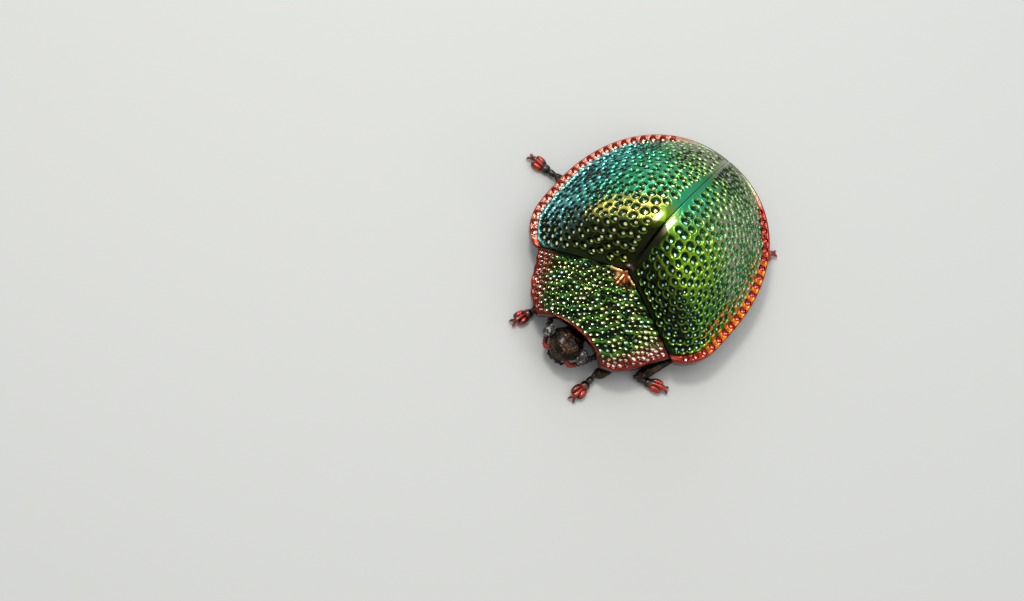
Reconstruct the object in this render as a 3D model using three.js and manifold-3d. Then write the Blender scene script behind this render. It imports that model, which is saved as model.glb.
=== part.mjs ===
// A tortoise beetle at life size, standing still on its six feet.
// Units are millimetres. +Z is up, the head points to -Y and the beetle's own left is +X.
// While it is modelled, x = 0 is the plane of symmetry, y = 0 is near the front of the wing
// cases and z = 0 is the floor. At the end the whole group is moved so that its origin is the
// middle of the footprint.
import * as THREE from "three";
import { mergeVertices } from "three/addons/utils/BufferGeometryUtils.js";
import Module from "manifold-3d";

const wasm = await Module();
wasm.setup();

// Driving sizes of the back, in millimetres.
const HALF_WIDTH = 5.61; // of the two wing cases at their widest
const HUMP_Y = 2.0;
const HUMP_Z = 5.9;
const RIM_Z = 1.5; // the outer rim of wing cases and shield, over the floor
const REAR_REACH = 6.87; // from the hump to the tail end
const FRONT_REACH = 4.15; // from the hump to the front of the shoulder lobes
const ROUNDNESS = 2.12; // exponent of the outline, 2 is an ellipse
const FRONT_ROUNDNESS = 4; // the same for its front half, which is squarer
const DISC_REACH = 0.93; // share of the outline's radius where the dome ends and the rim begins
const TAIL_DISC_REACH = 0.985; // the same at the tail, where the rim is hardly wider than an edge
const RIM_RISE = 0.34; // the flat rim climbs this much towards the dome
const BASE_SHARE = 0.4; // height left at the base of the wing cases
const SHELL = 0.5; // thickness of wing cases and shield
const RIM_DEPTH = 0.42; // thickness of the outer rim
const SEAM = 0.06; // half of the gap along the suture
const GAP = 0.12; // between nodes that touch
const SHOULDER = Math.PI * 0.704; // direction of the shoulder lobe from the hump, from +Y
const TAIL_CORNER = Math.PI / 6; // where the side of a wing case turns into its tail
// Of each pair below, the first goes for the front and sides of the dome, the second for its tail.
const DOME_FALL = [2.2, 1.25]; // how late the dome falls towards the rim
const DOME_POWER = [1, 0.7]; // below 1, the dome meets the rim more steeply
const RIM_CLIMB = [RIM_RISE, 0.1];
const RIM_WIDTH = 0.1; // share of the outline's radius over which the rim climbs
const RIM_BLEND = 0.3; // width over which dome and rim run into each other
const CLIMB_LENGTH = 1.95; // from the base line back to the full height, on the middle line
const CLIMB_LOSS = 0.2; // how much shorter that gets with each millimetre to the side
const SHOULDER_HOLLOW = { x: 3.85, y: -0.05, halfWidth: 0.65, halfLength: 0.5, depth: 0.3 };
const BASE_LINE = { y: 0.12, slope: 0.45, bend: 0.032 };
const LOBE_START = 3.95; // x from which the base line runs forward into the shoulder lobe

// Pits of the wing cases and the shield.
const PIT_DEPTH = 0.13;
const SHIELD_PIT_DEPTH = 0.085;
const WING_COLUMNS = 18;
const WING_ROWS = 30;
const SHIELD_COLUMNS = 27;
const SHIELD_ROWS = 13;
const RIM_PIT_SHARE = 0.8; // depth of the pits on the rim, of that of the others
const COLUMN_CROWDING = 1.25; // above 1, columns of pits crowd towards the rim
// Beside the suture runs a smooth band, widest where it crosses the hump.
const SMOOTH_BAND = { half: 0.42, bulge: 0.35, y: 3.1, halfLength: 1.3 };
const SMOOTH_LOBE = { half: 0.55, front: -0.75 }; // of the shield

// The shield, or pronotum. Its outline on one side, from the hind corner to the front corner.
const SHIELD_SIDE = [
  [4.12, -1.28],
  [3.72, -1.95],
  [3.28, -2.78],
  [2.72, -3.47],
  [1.95, -3.9],
];
const SHIELD_NOTCH = 0.36; // how far the front edge is cut back over the head
const SHIELD_FRONT_Z = 2.1;
const SHIELD_HIND_Z = 3.2;
const SHIELD_ARCH = 2.4; // exponent of its cross-section, 2 is a parabola
const EDGE_SHARE = 0.75; // thickness of its edge, of the thickness of its middle

// Legs: for each, the hip, the ankle and the tip of the claws on the floor.
const THIGH = { front: 1.65, middle: 2.75, hind: 2.85 };
const SHIN = { front: 1.55, middle: 2.55, hind: 2.65 };
const HIP_X = { front: 1.0, middle: 1.75, hind: 1.6 };
const HIP_Y = { front: -2.5, middle: 0.15, hind: 2.6 };
const HIP_Z = 0.95;
const ANKLE_Z = 0.42;
const KNEE_Z = { front: 0.66, middle: 0.7, hind: 0.72 };
// The pose: where each ankle and each claw tip stands, seen from above.
const POSE = {
  front_right: { ankle: [-2.25, -3.15], toe: [-2.74, -4.66] },
  front_left: { ankle: [1.93, -4.05], toe: [1.86, -5.7] },
  middle_right: { ankle: [-6.0, 2.78], toe: [-7.72, 2.74] },
  middle_left: { ankle: [3.5, -2.68], toe: [5.06, -2.08] },
  hind_right: { ankle: [-2.9, 6.0], toe: [-3.3, 7.66] },
  hind_left: { ankle: [3.6, 6.02], toe: [4.7, 7.3] },
};

const TINY = 1e-6; // keeps a division from being one by nothing
const sq = (x) => x * x;
const clamp01 = (x) => Math.min(1, Math.max(0, x));
const mix = (a, b, t) => a + (b - a) * t;
const smooth = (t) => sq(clamp01(t)) * (3 - 2 * clamp01(t));

// The larger of two numbers, with the corner between them rounded over a width of k.
function smoothMax(a, b, k) {
  return Math.max(a, b) + (sq(Math.max(k - Math.abs(a - b), 0)) / k) * 0.25;
}

// Share of the way from the hump to the outline at a place, 1 on the outline itself.
function outlineShare(x, y) {
  const front = y < HUMP_Y;
  const reach = front ? FRONT_REACH : REAR_REACH;
  const power = front ? FRONT_ROUNDNESS : ROUNDNESS;
  const level = Math.pow(Math.abs(x) / HALF_WIDTH, ROUNDNESS) + Math.pow(Math.abs(y - HUMP_Y) / reach, power);
  return Math.pow(level, 1 / ROUNDNESS);
}

// The outline's point in a direction from the hump, counted from +Y, found by halving.
function outlinePoint(angle, share = 1) {
  let low = 0;
  let high = 2 * REAR_REACH;
  for (let halving = 0; halving < 40; halving++) {
    const middle = (low + high) / 2;
    const inside = outlineShare(middle * Math.sin(angle), HUMP_Y + middle * Math.cos(angle)) < share;
    if (inside) low = middle;
    else high = middle;
  }
  return [low * Math.sin(angle), HUMP_Y + low * Math.cos(angle)];
}

// The line where the wing cases begin, behind the shield.
const baseLine = (x) => BASE_LINE.y - BASE_LINE.slope * Math.abs(x) + BASE_LINE.bend * sq(x);

// Height of the smooth back of the wing cases: a dome with a flat rim, which falls to the base
// in front of the hump and has a hollow inside each shoulder.
function wingHeight(x, y) {
  const share = outlineShare(x, y);
  const across = sq(x / HALF_WIDTH);
  const behind = y > HUMP_Y ? sq((y - HUMP_Y) / REAR_REACH) : 0;
  const towardsTail = sq(behind / (across + behind + TINY));
  const reach = mix(DISC_REACH, TAIL_DISC_REACH, towardsTail);
  const fall = Math.max(0, 1 - Math.pow(share / reach, mix(...DOME_FALL, towardsTail)));
  const dome = (HUMP_Z - RIM_Z) * Math.pow(fall, mix(...DOME_POWER, towardsTail));
  const rim = (mix(...RIM_CLIMB, towardsTail) * (1 - share)) / RIM_WIDTH;
  const climb = clamp01((y - baseLine(x)) / (CLIMB_LENGTH - CLIMB_LOSS * Math.abs(x)));
  const { halfWidth, halfLength, depth } = SHOULDER_HOLLOW;
  const aside = (Math.abs(x) - SHOULDER_HOLLOW.x) / halfWidth;
  const hollow = depth * Math.exp(-sq(aside) - sq((y - SHOULDER_HOLLOW.y) / halfLength));
  return RIM_Z + smoothMax(dome, rim, RIM_BLEND) * mix(BASE_SHARE, 1, smooth(climb)) - hollow;
}

// How much further down the inside of a shell lies than its outside, along z, where it is steep.
function steepness(height, x, y) {
  const step = 0.05;
  const steepest = 2;
  const sx = (height(x + step, y) - height(x - step, y)) / (2 * step);
  const sy = (height(x, y + step) - height(x, y - step)) / (2 * step);
  return Math.min(steepest, Math.sqrt(1 + sq(sx) + sq(sy)));
}

// A four-sided patch filled in from its four edges, each a function of a number from 0 to 1.
function patch(base, tail, inner, outer) {
  return (u, v) =>
    [0, 1].map((axis) => {
      const along = mix(base(u)[axis], tail(u)[axis], v) + mix(inner(v)[axis], outer(v)[axis], u);
      const front = mix(base(0)[axis], base(1)[axis], u);
      const back = mix(tail(0)[axis], tail(1)[axis], u);
      return along - mix(front, back, v);
    });
}

// A closed solid from a flat list of coordinates and one of triangles.
function solidOf(coordinates, triangles) {
  const mesh = new wasm.Mesh({
    numProp: 3,
    vertProperties: new Float32Array(coordinates),
    triVerts: new Uint32Array(triangles),
  });
  return new wasm.Manifold(mesh);
}

const MERGE_DISTANCE = 1e-4;
// A three.js geometry as a solid: shared points merged, and triangles with no area left out.
function solid(geometry) {
  const bare = new THREE.BufferGeometry();
  bare.setAttribute("position", geometry.getAttribute("position"));
  if (geometry.index) bare.setIndex(geometry.index);
  const merged = mergeVertices(bare, MERGE_DISTANCE);
  const index = merged.index.array;
  const kept = [];
  for (let i = 0; i < index.length; i += 3) {
    const [a, b, c] = [index[i], index[i + 1], index[i + 2]];
    if (a !== b && b !== c && a !== c) kept.push(a, b, c);
  }
  return solidOf(merged.attributes.position.array, kept);
}

// A slab whose top and bottom share one grid of rows. Every second row is shifted by half a
// column, so that each inner point has six neighbours, and every third point of a row can be a pit.
// point(u, v) gives a place from above, top and bottom give heights, and pit says how deep one is.
function latticeSlab(columns, rows, point, top, bottom, pit) {
  const coordinates = [];
  const triangles = [];
  const rowStart = [];
  const lattice = [];
  for (let row = 0; row <= rows; row++) {
    // places along a row in half columns, from 0 to 2 * columns
    const shifted = row % 2;
    const places = Array.from({ length: columns + 1 - shifted }, (_, i) => 2 * i + shifted);
    if (shifted) places.unshift(0);
    if (shifted) places.push(2 * columns);
    rowStart.push(coordinates.length / 6);
    lattice.push(places);
    places.forEach((place, i) => {
      const [x, y] = point(place / (2 * columns), row / rows);
      const inner = row > 0 && row < rows && i > 0 && i < places.length - 1;
      const depth = inner && place % 3 === 0 ? pit(x, y) : 0;
      coordinates.push(x, y, top(x, y) - depth, x, y, bottom(x, y));
    });
  }
  // vertex 2n is the nth point's top and 2n + 1 its bottom
  const faces = (a, b, c) => triangles.push(2 * a, 2 * b, 2 * c, 2 * a + 1, 2 * c + 1, 2 * b + 1);
  const wall = (a, b) => triangles.push(2 * a, 2 * a + 1, 2 * b + 1, 2 * a, 2 * b + 1, 2 * b);
  for (let row = 0; row < rows; row++) {
    const [here, next] = [rowStart[row], rowStart[row + 1]];
    const [lastHere, lastNext] = [lattice[row].length - 1, lattice[row + 1].length - 1];
    let i = 0;
    let j = 0;
    while (i < lastHere || j < lastNext) {
      const advanceNext = i === lastHere || (j < lastNext && j / lastNext <= i / lastHere);
      faces(here + i, advanceNext ? next + j + 1 : here + i + 1, next + j);
      if (advanceNext) j += 1;
      else i += 1;
    }
    wall(next, here);
    wall(here + lastHere, next + lastNext);
  }
  for (let i = 0; i < lattice[0].length - 1; i++) wall(i, i + 1);
  const last = rowStart[rows];
  for (let i = 0; i < lattice[rows].length - 1; i++) wall(last + i + 1, last + i);
  return solidOf(coordinates, triangles);
}

// A lens-shaped body: rings round a middle out to an outline, with a height above and below.
function lens(middle, outline, rings, sectors, top, bottom) {
  const coordinates = [];
  const triangles = [];
  const place = (ring, sector) => {
    const [x, y] = outline((2 * Math.PI * sector) / sectors);
    return [mix(middle[0], x, ring / rings), mix(middle[1], y, ring / rings)];
  };
  const add = (x, y) => coordinates.push(x, y, top(x, y), x, y, bottom(x, y));
  add(...middle);
  for (let ring = 1; ring <= rings; ring++) {
    for (let s = 0; s < sectors; s++) add(...place(ring, s));
  }
  const at = (ring, s) => (ring ? 1 + (ring - 1) * sectors + (s % sectors) : 0);
  const both = (a, b, c) => triangles.push(2 * a, 2 * b, 2 * c, 2 * a + 1, 2 * c + 1, 2 * b + 1);
  for (let s = 0; s < sectors; s++) {
    both(0, at(1, s + 1), at(1, s));
    for (let ring = 1; ring < rings; ring++) {
      both(at(ring, s), at(ring + 1, s + 1), at(ring + 1, s));
      both(at(ring, s), at(ring, s + 1), at(ring + 1, s + 1));
    }
    const [a, b] = [2 * at(rings, s), 2 * at(rings, s + 1)];
    triangles.push(a, b, b + 1, a, b + 1, a + 1);
  }
  return solidOf(coordinates, triangles);
}

// An egg shape with its three half sizes, turned about z.
function egg(centre, half, turn = 0, around = 8, up = 6) {
  const geometry = new THREE.SphereGeometry(1, around, up);
  geometry.rotateX(Math.PI / 2).scale(...half).rotateZ(turn).translate(...centre);
  return solid(geometry);
}

// A round piece along a straight line: its radii are spread evenly between two points at its ends.
// flat below 1 makes it thinner upright than level.
function spindle(from, to, radii, sides = 8, flat = 1) {
  const start = new THREE.Vector3(...from);
  const way = new THREE.Vector3(...to).sub(start);
  const length = way.length();
  const [first, spare] = [0.35, 0.7]; // in steps between radii: where the first lies, and both ends
  const step = length / (radii.length - 1 + spare);
  const rings = radii.map((radius, i) => new THREE.Vector2(radius, step * (i + first)));
  const profile = [new THREE.Vector2(0, 0), ...rings, new THREE.Vector2(0, length)];
  const geometry = new THREE.LatheGeometry(profile, sides);
  geometry.scale(1, 1, flat);
  const z = new THREE.Vector3(0, 0, 1);
  const along = way.clone().normalize();
  const across = new THREE.Vector3().crossVectors(along, z).normalize();
  const turn = new THREE.Matrix4().makeBasis(across, along, new THREE.Vector3().crossVectors(across, along));
  geometry.applyMatrix4(turn).translate(...from);
  return solid(geometry);
}

// Joins solids, and keeps the largest closed body of the result.
function join(...solids) {
  return largest(wasm.Manifold.union(solids));
}
function largest(body) {
  return body.decompose().sort((a, b) => b.volume() - a.volume())[0];
}

// A block between two corners, to cut with.
const FAR = 30;
function block(low, high) {
  const size = high.map((h, i) => h - low[i]);
  const geometry = new THREE.BoxGeometry(...size);
  geometry.translate(...low.map((l, i) => l + size[i] / 2));
  return solid(geometry);
}
const belowFloor = block([-FAR, -FAR, -FAR], [FAR, FAR, 0]);

// The space under the wing cases, which leaves them as shells over the body. Its outline lies
// inside their flat rim, and it is open below.
const HOLLOW_REACH = 0.87;
const innerHeight = (x, y) => wingHeight(x, y) - SHELL * steepness(wingHeight, x, y);
const hollowOutline = (angle) => outlinePoint(angle, HOLLOW_REACH);
const underWings = lens([0, HUMP_Y], hollowOutline, 8, 24, innerHeight, () => -1);

// The scutellum, the small three-cornered plate between shield and wing cases, rising backwards.
const SCUTELLUM_TIP = 1.1;
const SCUTELLUM_HALF = 0.55;
const SCUTELLUM_THICK = 0.6;
const SCUTELLUM_CLIMB = 0.75; // rise for each millimetre backwards
const SCUTELLUM_Z = 2.62; // of its underside, at y = 0
function scutellum(grow) {
  const shape = new THREE.Shape([
    new THREE.Vector2(-SCUTELLUM_HALF - 2 * grow, baseLine(0) - grow),
    new THREE.Vector2(SCUTELLUM_HALF + 2 * grow, baseLine(0) - grow),
    new THREE.Vector2(0, SCUTELLUM_TIP + 3 * grow),
  ]);
  const spare = grow > 0 ? 1 : 0; // a tool for cutting reaches well past both faces
  const depth = SCUTELLUM_THICK + 2 * spare;
  const geometry = new THREE.ExtrudeGeometry(shape, { depth, bevelEnabled: false });
  const climb = new THREE.Matrix4().makeShear(0, 0, 0, SCUTELLUM_CLIMB, 0, 0);
  geometry.applyMatrix4(climb).translate(0, 0, SCUTELLUM_Z - spare);
  return solid(geometry);
}

// One wing case: the pitted back on a flat underside, hollowed out, and cut for the scutellum.
function wingCase(side) {
  const shoulderX = outlinePoint(SHOULDER)[0];
  const base = (u) => {
    const x = mix(SEAM, shoulderX, u);
    const lobe = smooth((x - LOBE_START) / (shoulderX - LOBE_START));
    return [x, mix(baseLine(x), outlinePoint(SHOULDER)[1], lobe)];
  };
  const tail = (u) => {
    const [x, y] = outlinePoint(TAIL_CORNER * u);
    return [Math.max(x, SEAM), y];
  };
  const inner = (v) => [SEAM, mix(base(0)[1], tail(0)[1], v)];
  const outer = (v) => outlinePoint(mix(SHOULDER, TAIL_CORNER, v));
  const place = patch(base, tail, inner, outer);
  const point = (u, v) => place(1 - Math.pow(1 - u, COLUMN_CROWDING), v);
  const pit = (x, y) => {
    const widening = Math.exp(-sq((y - SMOOTH_BAND.y) / SMOOTH_BAND.halfLength));
    if (x < SMOOTH_BAND.half + SMOOTH_BAND.bulge * widening) return 0;
    return outlineShare(x, y) > DISC_REACH ? PIT_DEPTH * RIM_PIT_SHARE : PIT_DEPTH;
  };
  const underside = () => RIM_Z - RIM_DEPTH;
  const slab = latticeSlab(WING_COLUMNS, WING_ROWS, point, wingHeight, underside, pit);
  const shell = slab.subtract(underWings).subtract(scutellum(GAP));
  const made = largest(shell);
  return side === "left" ? made : made.mirror([1, 0, 0]);
}

// The shield: u runs from the beetle's right to its left, v from the front to the hind edge.
const sidePoints = SHIELD_SIDE.map(([x, y]) => new THREE.Vector3(x, y, 0));
const shieldSide = new THREE.CatmullRomCurve3(sidePoints);
const shieldSamples = shieldSide.getPoints(40);
function shieldPlan() {
  const front = SHIELD_SIDE.at(-1);
  const edge = (v) => {
    const { x, y } = shieldSide.getPoint(1 - v);
    return [x, y];
  };
  const notch = (u) => SHIELD_NOTCH * (1 - sq(2 * u - 1));
  const frontEdge = (u) => [mix(-front[0], front[0], u), front[1] + notch(u)];
  const hindEdge = (u) => {
    const x = mix(-SHIELD_SIDE[0][0], SHIELD_SIDE[0][0], u);
    return [x, baseLine(x) - GAP];
  };
  return patch(frontEdge, hindEdge, (v) => [-edge(v)[0], edge(v)[1]], edge);
}

// Half of the shield's width at a place along the body.
function shieldHalf(y) {
  const next = shieldSamples.findIndex((sample) => sample.y <= y);
  if (next === 0) return shieldSamples[0].x;
  if (next < 0) return shieldSamples.at(-1).x;
  const [hind, fore] = [shieldSamples[next - 1], shieldSamples[next]];
  return mix(hind.x, fore.x, (hind.y - y) / (hind.y - fore.y));
}
function shieldHeight(x, y) {
  const across = clamp01(Math.abs(x) / shieldHalf(y));
  const frontY = SHIELD_SIDE.at(-1)[1];
  const along = clamp01((y - frontY) / (baseLine(0) - frontY));
  const ridge = mix(SHIELD_FRONT_Z, SHIELD_HIND_Z, Math.sin((along * Math.PI) / 2));
  return RIM_Z + (ridge - RIM_Z) * (1 - Math.pow(across, SHIELD_ARCH));
}

// The shield's underside, which thins it towards its edges.
function shieldUnder(x, y) {
  const height = shieldHeight(x, y);
  return height - SHELL * mix(EDGE_SHARE, 1, clamp01(height - RIM_Z));
}

// Pits of the shield, with none on the smooth hind lobe.
function shieldPit(x, y) {
  const lobe = Math.abs(x) < SMOOTH_LOBE.half && y > SMOOTH_LOBE.front;
  return lobe ? 0 : SHIELD_PIT_DEPTH;
}

// The space that the shield takes, with room to spare, to cut what lies under it clear of it.
const roomUnder = (x, y) => shieldUnder(x, y) - 1.5 * GAP;
const roomAbove = () => SHIELD_HIND_Z + SHELL;
const flat = () => 0;
const shieldSpace = latticeSlab(14, 7, shieldPlan(), roomAbove, roomUnder, flat).scale([1.05, 1.05, 1]);

// The fore body carries the head and the front legs. It is a lens with its top against the shield
// and its underside arched down to the breast.
const FORE_MIDDLE = [0, -2.25];
const FORE_HALF = [1.75, 1.05];
const foreOutline = (a) => [FORE_HALF[0] * Math.sin(a), FORE_MIDDLE[1] + FORE_HALF[1] * Math.cos(a)];
const FORE_UNDER_Z = 0.98;
const FORE_KEEL = 0.15;
const FORE_RISE = 0.1;
function foreUnder(x, y) {
  const keel = FORE_KEEL * (1 - sq(x / FORE_HALF[0]));
  return FORE_UNDER_Z - keel + FORE_RISE * sq((y - FORE_MIDDLE[1]) / FORE_HALF[1]);
}

// The body under the wing cases, whose belly is stepped into plates behind the hind legs.
const BODY_DROP = 0.42; // from the inside of the wing cases down to the back of the body
const BELLY_START = 3.35;
const PLATE = 0.98; // length of one plate
const PLATE_STEP = 0.09; // height of the step between two plates
const BELLY_Z = 0.92; // lowest height of the belly
const BELLY_RISE = 0.34; // how far it has risen at its edge
const BELLY_HALF = [4.4, 6.1]; // half sizes over which it rises
const BODY_REACH = 0.78; // share of the wing cases' outline that the body fills
const BODY_FRONT = -1.0;
const bodyTop = (x, y) => innerHeight(x, y) - BODY_DROP;
function bellyHeight(x, y) {
  const plates = y > BELLY_START ? PLATE_STEP * (((y - BELLY_START) / PLATE) % 1) : 0;
  const edge = Math.hypot(x / BELLY_HALF[0], (y - HUMP_Y) / BELLY_HALF[1]);
  return BELLY_Z + BELLY_RISE * Math.pow(edge, 3) + plates;
}
function hindBodyOutline(angle) {
  const [x, y] = outlinePoint(angle, BODY_REACH);
  return [x, Math.max(y, BODY_FRONT)];
}
const wholeBody = lens([0, HUMP_Y], hindBodyOutline, 9, 24, bodyTop, bellyHeight);

// A hip ball sits in a socket of the body.
const HIP_HALF = [0.46, 0.46, 0.36];
const hipBall = (hip, grow) => egg(hip, HIP_HALF.map((half) => half + grow), 0, 8, 5);

// A knee bends outwards, so that thigh and shin keep their lengths.
function kneeOf(hip, ankle, pair, side) {
  const [dx, dy] = [ankle[0] - hip[0], ankle[1] - hip[1]];
  const level = (length, z0, z1) => Math.sqrt(sq(length) - sq(z1 - z0));
  const thigh = level(THIGH[pair], hip[2], KNEE_Z[pair]);
  const shin = level(SHIN[pair], ANKLE_Z, KNEE_Z[pair]);
  const reach = Math.hypot(dx, dy);
  const along = (sq(thigh) - sq(shin) + sq(reach)) / (2 * reach);
  const off = Math.sqrt(Math.max(0, sq(thigh) - sq(along)));
  const bend = pair === "hind" ? -side : side;
  const [nx, ny] = [(-dy / reach) * bend, (dx / reach) * bend];
  const x = hip[0] + (dx / reach) * along + nx * off;
  const y = hip[1] + (dy / reach) * along + ny * off;
  return [x, y, KNEE_Z[pair]];
}

// The two bars of a leg, which can be grown to cut room for them out of their neighbours.
const THIGH_RADII = [0.26, 0.36, 0.4, 0.37, 0.28];
const SHIN_RADII = [0.22, 0.25, 0.28, 0.31, 0.27];
const KNEE_RADIUS = 0.27;
const ANKLE_RADIUS = 0.23;
const LEG_FLATNESS = 0.85;
const grown = (radii, grow) => radii.map((radius) => radius + grow);
const bar = (from, to, radii, grow) => spindle(from, to, grown(radii, grow), 8, LEG_FLATNESS);
const ball = (centre, radius, grow) => egg(centre, Array(3).fill(radius + grow), 0, 7, 4);

// One leg as three nodes: the thigh with its hip ball, the shin, and the foot with its claws.
function leg(name) {
  const [pair, sideName] = name.split("_");
  const side = sideName === "left" ? 1 : -1;
  const hip = [side * HIP_X[pair], HIP_Y[pair], HIP_Z];
  const ankle = [...POSE[name].ankle, ANKLE_Z];
  const knee = kneeOf(hip, ankle, pair, side);
  const thighOf = (grow) =>
    join(hipBall(hip, grow), bar(hip, knee, THIGH_RADII, grow), ball(knee, KNEE_RADIUS, grow));
  const shinOf = (grow) => join(bar(knee, ankle, SHIN_RADII, grow), ball(ankle, ANKLE_RADIUS, grow));
  const shin = largest(shinOf(0).subtract(thighOf(GAP)));
  const foot = largest(footOf(ankle, POSE[name].toe).subtract(shinOf(GAP)));
  return { room: thighOf(GAP), thigh: thighOf(0), shin, foot };
}

// A foot: two short joints, a third one split into two lobes, and the claw joint with two claws.
// Its sole is flat, because it stands on the floor. along is a share of the foot's length, and
// half sizes are along it, across it and upright.
const FOOT_JOINTS = [
  { along: 0.16, z: 0.24, half: [0.3, 0.2, 0.26] },
  { along: 0.38, z: 0.2, half: [0.28, 0.27, 0.28] },
];
const LOBE = { along: 0.62, across: 0.2, z: 0.17, half: [0.36, 0.19, 0.28], spread: 0.12 };
const CLAW_JOINT = { from: 0.45, to: 0.93, z: 0.25, radii: [0.15, 0.16] };
const CLAW = { from: 0.86, root: 0.05, tip: 0.16, tipZ: 0.02, radii: [0.11, 0.08] };
function footOf(ankle, toe) {
  const [dx, dy] = [toe[0] - ankle[0], toe[1] - ankle[1]];
  const length = Math.hypot(dx, dy);
  const turn = Math.atan2(dy, dx);
  const at = (share, across, z) => {
    const [x, y] = [ankle[0] + dx * share, ankle[1] + dy * share];
    return [x - (dy / length) * across, y + (dx / length) * across, z];
  };
  const parts = FOOT_JOINTS.map(({ along, z, half }) => egg(at(along, 0, z), half, turn, 8, 4));
  const { from, to, z, radii } = CLAW_JOINT;
  parts.push(spindle(at(from, 0, z), at(to, 0, z), radii, 6));
  for (const side of [1, -1]) {
    const lobe = at(LOBE.along, side * LOBE.across, LOBE.z);
    parts.push(egg(lobe, LOBE.half, turn + side * LOBE.spread, 6, 4));
    const root = at(CLAW.from, side * CLAW.root, z);
    parts.push(spindle(root, at(1, side * CLAW.tip, CLAW.tipZ), CLAW.radii, 5));
  }
  return join(...parts).subtract(belowFloor);
}

// The head: a rounded box with a face, brow, mouth and jaws, with a socket for each eye.
const EYE = [1.0, -4.22, 1.62];
const EYE_HALF = [0.32, 0.42, 0.5];
const EYE_TURN = 0.25;
const EYE_GAP = 0.07; // between an eye and its socket
const HEAD = { middle: [0, -4.12, 1.4], half: [0.98, 0.82, 0.64] };
const MUZZLE = { middle: [0, -4.62, 1.1], half: [0.52, 0.4, 0.42] };
const NECK = { middle: [0, -3.6, 1.2], half: [0.7, 0.75, 0.42] };
const JAW = { root: [0.12, -4.7, 0.9], tip: [0.3, -4.98, 0.72], radii: [0.16, 0.14] };
function eyeBall(side, grow) {
  const half = EYE_HALF.map((size) => size + grow);
  return egg([side * EYE[0], EYE[1], EYE[2]], half, side * EYE_TURN, 12, 7);
}

// A feeler of eleven joints, which leaves the face, bends down and lies back under the shield.
const FEELER_WAY = [
  [0.45, -4.68, 1.24],
  [0.74, -4.7, 0.98],
  [1.0, -4.25, 0.74],
  [1.26, -3.72, 0.78],
  [1.5, -3.28, 0.98],
];
const FEELER_JOINTS = 11;
const FEELER_RADIUS = 0.2;
const FEELER_GAP = 0.16; // between a feeler and the hollow it has in the face
function feeler(side, grow) {
  const points = FEELER_WAY.map(([x, y, z]) => new THREE.Vector3(side * x, y, z));
  const way = new THREE.CatmullRomCurve3(points);
  const thinner = 0.9; // a joint's root, of its tip
  const overlap = 0.15; // of one joint into the next, in joints
  const beads = [ball(points[0].toArray(), FEELER_RADIUS * thinner, grow)];
  for (let i = 0; i < FEELER_JOINTS; i++) {
    const from = way.getPointAt(Math.max(0, (i - overlap) / FEELER_JOINTS)).toArray();
    const to = way.getPointAt(Math.min(1, (i + 1 + overlap) / FEELER_JOINTS)).toArray();
    const radius = FEELER_RADIUS + grow;
    beads.push(spindle(from, to, [radius * thinner, radius], 7));
  }
  return join(...beads);
}

// The neck reaches back into the fore body, which has a hollow for it.
const neck = (grow) => egg(NECK.middle, NECK.half.map((half) => half + grow), 0, 10, 6);

function head() {
  const parts = [egg(HEAD.middle, HEAD.half, 0, 14, 9), neck(0), egg(MUZZLE.middle, MUZZLE.half, 0, 10, 6)];
  for (const side of [1, -1]) {
    const [root, tip] = [JAW.root, JAW.tip].map(([x, y, z]) => [side * x, y, z]);
    parts.push(spindle(root, tip, JAW.radii, 6));
  }
  let made = join(...parts).subtract(shieldSpace);
  for (const side of [1, -1]) made = made.subtract(eyeBall(side, EYE_GAP)).subtract(feeler(side, FEELER_GAP));
  return largest(made);
}

// Finishes, as [colour, roughness, metalness].
const GREEN = [0x1f7a3a, 0.25, 1];
const COPPER = [0x8a3a22, 0.3, 1];
const DARK = [0x1d1a14, 0.4, 0.8];
const BROWN = [0x4a2016, 0.35, 0.9];
const EYE_FINISH = [0x2b2826, 0.2, 0.1];

const legs = Object.fromEntries(Object.keys(POSE).map((name) => [name, leg(name)]));
function withRoomForLegs(body) {
  return largest(Object.values(legs).reduce((rest, { room }) => rest.subtract(room), body));
}

// The body behind the shield is cut across into the part that bears wings and legs, and the abdomen.
const behind = (y) => block([-FAR, y, -FAR], [FAR, FAR, FAR]);
const midBody = withRoomForLegs(wholeBody.subtract(behind(BELLY_START - GAP / 2)));
const abdomen = withRoomForLegs(wholeBody.intersect(behind(BELLY_START + GAP / 2)));
const foreLens = lens(FORE_MIDDLE, foreOutline, 4, 18, roomAbove, foreUnder);
const foreBody = withRoomForLegs(foreLens.subtract(shieldSpace).subtract(neck(GAP)));
const shield = latticeSlab(SHIELD_COLUMNS, SHIELD_ROWS, shieldPlan(), shieldHeight, shieldUnder, shieldPit);

// All nodes, as [name, solid, finish].
const nodes = [
  ["shield", shield, COPPER],
  ["fore_body", foreBody, DARK],
  ["scutellum", scutellum(0), COPPER],
  ["wing_case_left", wingCase("left"), GREEN],
  ["wing_case_right", wingCase("right"), GREEN],
  ["mid_body", midBody, DARK],
  ["abdomen", abdomen, DARK],
  ["head", head(), DARK],
  ["eye_left", eyeBall(1, 0), EYE_FINISH],
  ["eye_right", eyeBall(-1, 0), EYE_FINISH],
  ["feeler_left", feeler(1, 0), BROWN],
  ["feeler_right", feeler(-1, 0), BROWN],
];
for (const [name, { thigh, shin, foot }] of Object.entries(legs)) {
  nodes.push([`thigh_${name}`, thigh, DARK], [`shin_${name}`, shin, BROWN], [`foot_${name}`, foot, BROWN]);
}

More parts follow.
